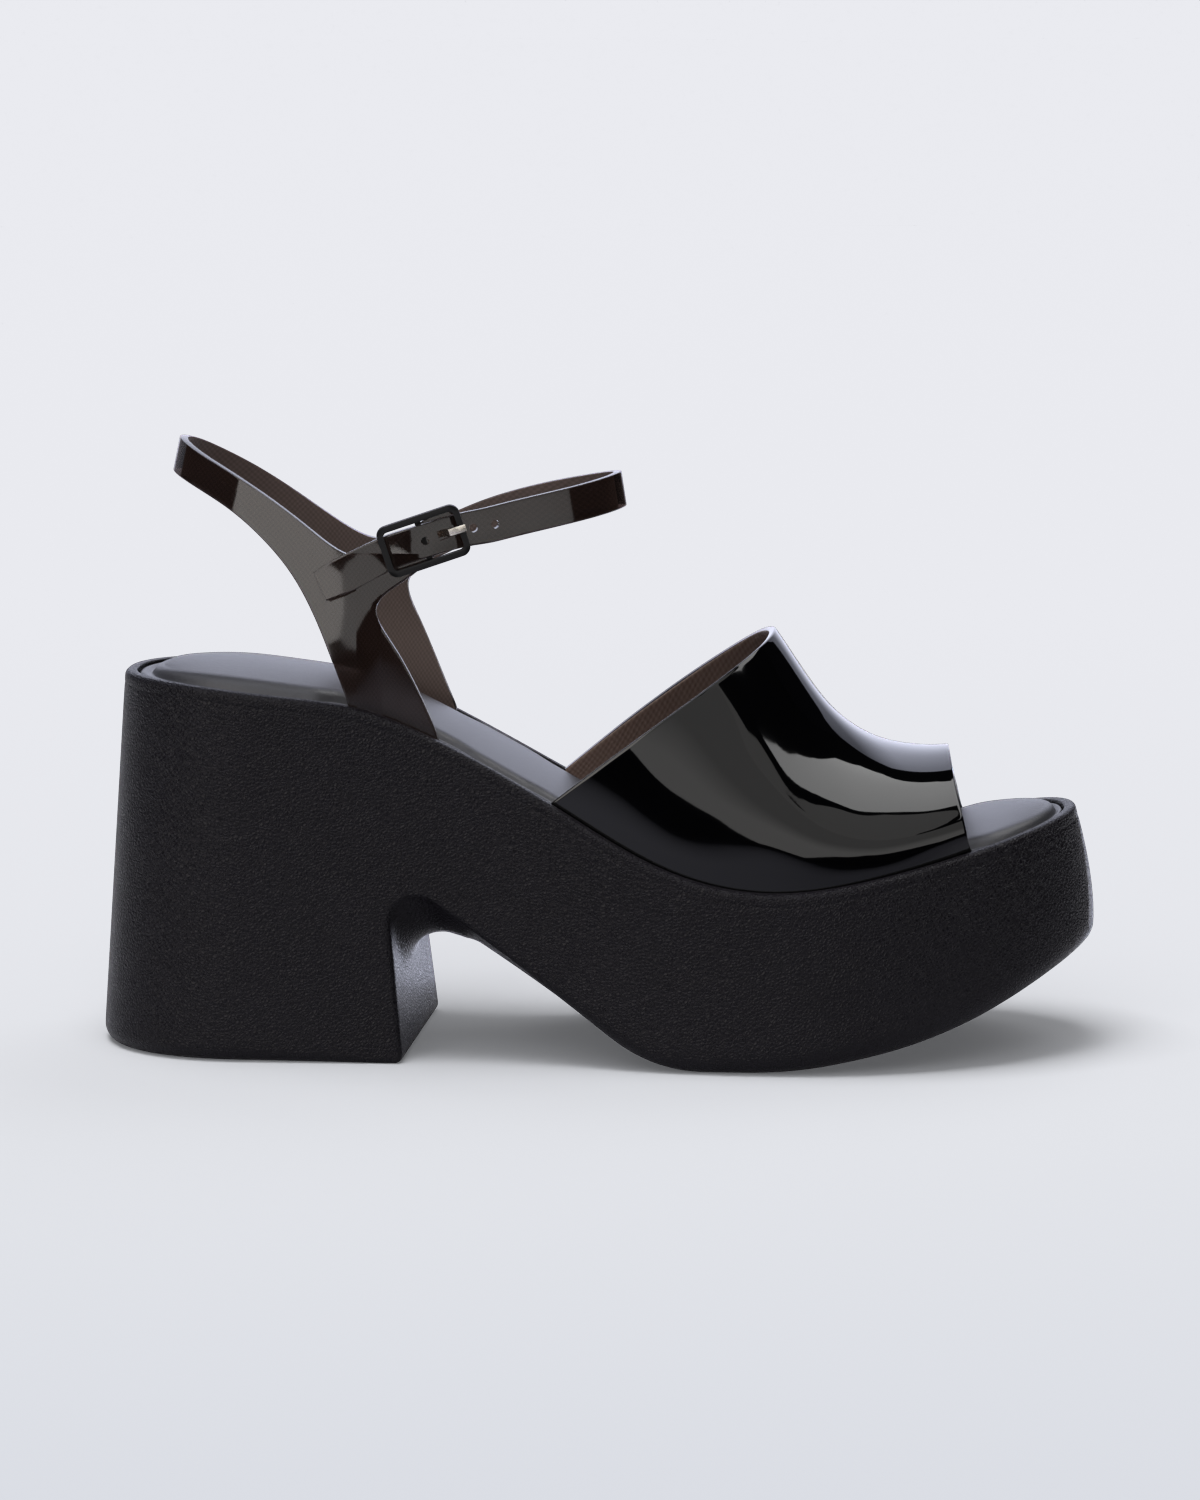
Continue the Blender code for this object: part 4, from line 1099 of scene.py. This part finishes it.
def satin_nickel():
    """Plated and brushed: a pale warm metal with fine lines along the prong."""
    material, tree, shader, place = start_material("nickel_plated_brushed")
    stretch = node(tree, "Mapping", {"Scale": (1.0, 8.0, 8.0)}, {"Vector": (place, "Object")})
    brush = node(tree, "TexNoise", {"Scale": per_mm(2.0), "Detail": 3.0}, {"Vector": stretch})
    bump = node(tree, "Bump", {"Strength": 0.1, "Distance": 0.00003}, {"Height": brush})
    rough = node(tree, "MapRange", {"To Min": 0.2, "To Max": 0.34}, {"Value": brush})
    dress(tree, shader, {"Roughness": rough, "Normal": bump},
          {"Base Color": linear("#E4DED2"), "Metallic": 1.0})
    return material


# Pieces


def close_ribs(ribs):
    """Repeats each rib's first point at its end, so that a sheet laid on them closes round."""
    return [rib + rib[:1] for rib in ribs]


def make_sole():
    sole = start_sheet("grained_platform", close_ribs(sole_ribs()))
    weld(sole)
    subdivide(sole, 1)
    sole.data.materials.append(grained_eva_foam())
    hand_over(sole, "platform_sole")


def make_footbed():
    footbed = start_sheet("padded_footbed", close_ribs(footbed_ribs()))
    weld(footbed)
    subdivide(footbed, 1)
    footbed.data.materials.append(padded_microfibre())
    hand_over(footbed, "footbed")


def make_vamp():
    vamp = start_sheet("glossy_toe_band", vamp_rows())
    weld(vamp)
    make_wall(vamp, polished_black_pvc(), woven_lining("toes", "#6E564B", "#867066", 0))
    hand_over(vamp, "vamp_band")


def draw_strap(sling, root, rows):
    """Extrudes a strap row by row from three points of the heel band's front edge."""
    ends = set(root)
    for row in rows:
        select(sling, "EDGE", lambda edge: set(edge.vertices) <= ends)
        bpy.ops.mesh.extrude_edges_move()
        leave_edit()
        spots = sling.data.vertices
        fresh = [spot.index for spot in spots if spot.select]
        places = {}
        for old, place in zip(root, row):
            partner = min(fresh, key=lambda new: (spots[new].co - spots[old].co).length)
            places[partner] = place * MM
            fresh.remove(partner)
        for new, place in places.items():
            spots[new].co = place
        root = list(places)
        ends = set(root)
    return root


def crease_corners(sling, corners):
    """Keeps a strap's end nearly square when it is subdivided."""
    crease = sling.data.attributes.new("crease_vert", "FLOAT", "POINT")
    for corner in corners:
        crease.data[corner].value = TAIL_CREASE


def punch_prong_hole(sling):
    length = (PRONG_HOLE_TO - PRONG_HOLE_FROM) * MM
    middle = Vector(((PRONG_HOLE_FROM + PRONG_HOLE_TO) / 2, 0, PRONG_HOLE_OUT)) * MM
    punch = start("prong_punch", bpy.ops.mesh.primitive_cube_add, size=1)
    size = Matrix.Diagonal((length, PRONG_HOLE_WIDTH * MM, PRONG_HOLE_DEPTH * MM, 1))
    punch.data.transform(buckle_place() @ Matrix.Translation(middle) @ size)
    cut(sling, punch)


def punch_strap_holes(sling):
    table = sorted(INSTEP_OUTER)
    height, stand_off = batten(table, "z"), batten(table, "stand_off")
    for turn in STRAP_HOLE_TURNS:
        spot = ankle_point(turn, height(turn), stand_off(turn))
        ahead = ankle_point(turn + 1, height(turn), stand_off(turn)) - spot
        out = ahead.cross(Vector((0, 0, 1)))
        punch = start("hole_punch", bpy.ops.mesh.primitive_cylinder_add, vertices=STRAP_HOLE_SIDES,
                      radius=STRAP_HOLE_RADIUS * MM, depth=STRAP_HOLE_DEPTH * MM)
        punch.data.transform(Matrix.Translation(spot * MM) @ out.to_track_quat("Z", "Y").to_matrix().to_4x4())
        cut(sling, punch)


def make_sling():
    rows = band_rows(OUTER) + band_rows(INNER)[-2::-1]
    sling = start_sheet("smoky_ankle_sling", rows)
    width = len(rows[0])
    last = len(rows) - 1
    outer_root = [(row + ROOT_ROWS + 1) * width - 1 for row in reversed(BRANCH_ROWS)]
    inner_root = [(last - row - ROOT_ROWS + 1) * width - 1 for row in reversed(BRANCH_ROWS)]
    tab = [strap_row(INNER, strap) for strap in BUCKLE_TAB]
    tab = [[Vector((spot.x, -spot.y, spot.z)) for spot in row] for row in tab]
    instep = [strap_row(INNER, strap) for strap in INSTEP_INNER]
    instep += [strap_row(OUTER, strap) for strap in INSTEP_OUTER]
    draw_strap(sling, outer_root, tab)
    tail = draw_strap(sling, inner_root, instep)
    crease_corners(sling, (tail[0], tail[-1]))
    select(sling, "VERT", lambda vertex: True)
    bpy.ops.mesh.normals_make_consistent(inside=False)
    leave_edit()
    subdivide(sling, 3)
    make_wall(sling, smoky_pvc(), woven_lining("ankle", "#5C4D46", "#715F57", 0.13))
    punch_prong_hole(sling)
    punch_strap_holes(sling)
    hand_over(sling, "ankle_sling")


def make_buckle_frame():
    """A flat block, inset and opened to a ring, its corners rounded, with the sunk bar under the strap."""
    ring = start("buckle_frame_ring", bpy.ops.mesh.primitive_cube_add, size=1)
    ring.data.transform(Matrix.Diagonal((FRAME_LENGTH * MM, FRAME_HEIGHT * MM, FRAME_DEPTH * MM, 1)))
    select(ring, "FACE", lambda face: abs(face.normal.z) > 0.9)
    bpy.ops.mesh.inset(thickness=FRAME_BAR * MM, depth=0)
    bpy.ops.mesh.bridge_edge_loops()
    leave_edit()
    outer_x = FRAME_LENGTH / 2 * MM - WELD

    def upright(edge, far):
        ends = [ring.data.vertices[spot].co for spot in edge.vertices]
        level = (ends[0] - ends[1]).xy.length < WELD
        return level and (abs(ends[0].x) > outer_x) == far

    for far, radius in ((True, FRAME_CORNER), (False, FRAME_INNER_CORNER)):
        select(ring, "EDGE", lambda edge: upright(edge, far))
        bpy.ops.mesh.bevel(offset=radius * MM, segments=FRAME_CORNER_SEGMENTS, affect="EDGES")
        leave_edit()
    finish_with(ring, "BEVEL", width=FRAME_EDGE * MM, segments=FRAME_EDGE_SEGMENTS, limit_method="ANGLE",
                angle_limit=RIM_ANGLE)
    ring.data.transform(Matrix.Translation((0, 0, (FRAME_STAND_OFF + FRAME_DEPTH / 2) * MM)))
    end = FRAME_HEIGHT / 2 - BAR_END_INSET
    side = FRAME_HEIGHT / 2 - FRAME_BAR
    bar = start("buckle_bar", bpy.ops.mesh.primitive_cube_add, size=1)
    bar.data.transform(Matrix.Translation((0, 0, (BAR_STAND_OFF + BAR_DEPTH / 2) * MM))
                       @ Matrix.Diagonal((BAR_WIDTH * MM, 2 * side * MM, BAR_DEPTH * MM, 1)))
    select(bar, "FACE", lambda face: abs(face.normal.y) > 0.9)
    bpy.ops.mesh.extrude_faces_move(TRANSFORM_OT_shrink_fatten={"value": (end - side) * MM})
    leave_edit()
    select(bar, "FACE", lambda face: face.normal.z > 0.9 and abs(face.center.y) > side * MM)
    rise = FRAME_STAND_OFF + BAR_SEAT - BAR_STAND_OFF - BAR_DEPTH
    bpy.ops.mesh.extrude_region_move(TRANSFORM_OT_translate={"value": (0, 0, rise * MM)})
    leave_edit()
    finish_with(ring, "BOOLEAN", operation="UNION", solver="EXACT", object=bar)
    bpy.data.objects.remove(bar, do_unlink=True)
    ring.data.transform(buckle_place())
    ring.data.materials.append(matt_black_enamel())
    hand_over(ring, "buckle_frame")


def make_prong():
    """A flat blank extruded along the prong's bends, with its edges broken."""
    prong = start("buckle_prong_pin", bpy.ops.mesh.primitive_plane_add, size=1)
    blank = Matrix(((0, 0, 1), (1, 0, 0), (0, 1, 0))).to_4x4()
    prong.data.transform(blank @ Matrix.Diagonal((PRONG_WIDTH * MM, PRONG_DEPTH * MM, 1, 1)))
    offsets = [vertex.co.copy() for vertex in prong.data.vertices]
    for index, step in enumerate(PRONG_PATH):
        before = PRONG_PATH[max(index - 1, 0)]
        after = PRONG_PATH[min(index + 1, len(PRONG_PATH) - 1)]
        run = Vector((after.along - before.along, 0, after.out - before.out)).normalized()
        up = Vector((-run.z, 0, run.x))
        if index:
            select(prong, "FACE", lambda face: face.index == tip)
            bpy.ops.mesh.extrude_region_move()
            leave_edit()
        tip = next(face.index for face in prong.data.polygons if face.select or not index)
        corners = [vertex for vertex in prong.data.vertices if vertex.select or not index]
        for corner, offset in zip(corners, offsets):
            corner.co = Vector((step.along, 0, step.out)) * MM + Vector((0, offset.y, 0)) + up * offset.z
    select(prong, "VERT", lambda vertex: True)
    bpy.ops.mesh.normals_make_consistent(inside=False)
    leave_edit()
    finish_with(prong, "BEVEL", width=PRONG_EDGE * MM, segments=PRONG_EDGE_SEGMENTS, limit_method="ANGLE",
                angle_limit=PRONG_EDGE_ANGLE)
    prong.data.transform(buckle_place())
    prong.data.materials.append(satin_nickel())
    hand_over(prong, "buckle_prong")


# Studio


def direction(azimuth, elevation):
    """Unit vector to a place in the studio: azimuth 0 is toward the camera, 90 toward +X; degrees."""
    turn, rise = radians(azimuth), radians(elevation)
    return Vector((sin(turn) * cos(rise), -cos(turn) * cos(rise), sin(rise)))


def hang_card(corners):
    """Corners of a flat card that hangs facing the shoe, from the directions they are seen in."""
    ways = [direction(*corner) for corner in corners]
    facing = sum(ways, Vector()).normalized()
    return [way * CARD_DISTANCE / way.dot(facing) for way in ways]


def light_card(card_row, places):
    """A glowing card that the gloss mirrors and that neither the camera sees nor the shadows know."""
    name, radiance, code, _, fade = card_row
    card = start(name, bpy.ops.mesh.primitive_circle_add, vertices=len(places), fill_type="NGON")
    for vertex, place in zip(card.data.vertices, places):
        vertex.co = place
    material, tree, shader, spread = start_material(name + "_glow")
    dress(tree, shader, {}, {"Base Color": linear("#000000"), "Emission Color": linear(code),
                             "Emission Strength": radiance})
    if fade:
        apart = node(tree, "SeparateXYZ", links={0: (spread, "Object")})
        glow = node(tree, "MapRange", span(fade.start, fade.end, radiance, fade.radiance),
                    {"Value": (apart, fade.axis)})
        dress(tree, shader, {"Emission Strength": glow}, {})
    card.data.materials.append(material)
    card.visible_camera = False
    card.visible_diffuse = False
    card.visible_shadow = False


def soft_box(box):
    """A square soft box aimed at the shoe; it lights and shades but isn't mirrored."""
    way = direction(box.azimuth, box.elevation)
    light = bpy.data.lights.new(box.name, "AREA")
    light.size = box.size
    light.energy = box.radiance * pi * box.size * box.size
    light.use_shadow = box.shadow
    lamp = bpy.data.objects.new(box.name, light)
    lamp.location = way * BOX_DISTANCE
    lamp.rotation_euler = way.to_track_quat("Z", "Y").to_euler()
    lamp.visible_camera = False
    lamp.visible_glossy = False
    bpy.context.scene.collection.objects.link(lamp)


def make_lights():
    for card in CARDS:
        light_card(card, hang_card(card.corners))
    # Painted reflection: a glowing card on the floor behind the shoe, standing in for lit paper
    light_card(PAPER_GLOW_CARD, [Vector((x, y, PAPER_LIFT)) for x, y in PAPER_GLOW_CARD.corners])
    for box in BOXES:
        soft_box(box)


def make_backdrop():
    """Pale paper, white to lavender, that the camera sees, and a soft room light that isn't mirrored."""
    world = bpy.data.worlds.new("pale_studio")
    world.use_nodes = True
    bpy.context.scene.world = world
    world.cycles_visibility.glossy = False
    tree = world.node_tree
    place = node(tree, "TexCoord")
    apart = node(tree, "SeparateXYZ", links={0: (place, "Generated")})
    level = node(tree, "MapRange", span(*BACKDROP_SPAN), {"Value": (apart, "Z")})
    ramp = node(tree, "ValToRGB", links={0: level})
    for index, code in enumerate(BACKDROP_ENDS):
        ramp.color_ramp.elements[index].color = linear(code)
    for stop, code in BACKDROP_STOPS:
        ramp.color_ramp.elements.new(stop).color = linear(code)
    seen = node(tree, "LightPath")
    room = node(tree, "Background", {"Color": linear(ROOM_CODE), "Strength": ROOM_STRENGTH})
    paper = node(tree, "Background", links={"Color": ramp})
    both = node(tree, "MixShader", links={0: (seen, "Is Camera Ray"), 1: room, 2: paper})
    tree.links.new(both.outputs[0], tree.nodes["World Output"].inputs["Surface"])


def make_floor():
    """Pale floor that takes the shadow; painted shade greys it in front and darkens it far in front and up
    its sweep.
    """
    turns = [2 * pi * spot / FLOOR_SIDES for spot in range(FLOOR_SIDES + 1)]
    rings = [[Vector((ring.radius * cos(turn), ring.radius * sin(turn), ring.z)) / MM for turn in turns]
             for ring in FLOOR_RINGS]
    floor = start_sheet("studio_floor", rings)
    weld(floor)
    floor.is_shadow_catcher = True
    material, tree, shader, place = start_material("paper_floor_matt")
    apart = node(tree, "SeparateXYZ", links={0: (place, "Object")})
    behind = node(tree, "MapRange", span(*BEHIND_SPAN), {"Value": (apart, "Y")})
    fibre = node(tree, "TexNoise", {"Scale": per_mm(4)}, {"Vector": (place, "Object")})
    soft = node(tree, "MixRGB", {1: linear("#EAEAF2"), 2: linear("#F4F4FA")}, {0: fibre})
    # Painted shade, mirrored in the gloss: grey in front, darker to the right, dark far in front
    right = node(tree, "MapRange", span(*RIGHT_SPAN), {"Value": (apart, "X")})
    near = node(tree, "MixRGB", {1: linear("#C8C8D4"), 2: linear("#9898A4")}, {0: right})
    reach = node(tree, "MapRange", span(*FAR_SPAN), {"Value": (apart, "Y")})
    front = node(tree, "MixRGB", {1: linear(FLOOR_PAINTED_SHADE)}, {0: reach, 2: near})
    flat = node(tree, "MixRGB", links={0: behind, 1: front, 2: soft})
    # Painted shade: dark up the sweep
    raised = node(tree, "MapRange", span(*FLOOR_WALL_SPAN), {"Value": (apart, "Z")})
    tone = node(tree, "MixRGB", {2: linear(FLOOR_PAINTED_SHADE)}, {0: raised, 1: flat})
    dress(tree, shader, {"Base Color": tone}, {"Roughness": 0.9, "Specular IOR Level": 0.0})
    floor.data.materials.append(material)


def make_camera():
    back = direction(CAMERA_AZIMUTH, CAMERA_ELEVATION)
    data = bpy.data.cameras.new("photo_camera")
    data.lens = LENS
    data.sensor_width = SENSOR
    camera = bpy.data.objects.new("photo_camera", data)
    camera.location = CAMERA_AIM + back * CAMERA_DISTANCE
    camera.rotation_euler = (-back).to_track_quat("-Z", "Y").to_euler()
    bpy.context.scene.collection.objects.link(camera)
    bpy.context.scene.camera = camera


make_sole()
make_footbed()
make_vamp()
make_sling()
make_buckle_frame()
make_prong()
make_lights()
make_backdrop()
make_floor()
make_camera()
bpy.context.scene.view_settings.view_transform = "Standard"
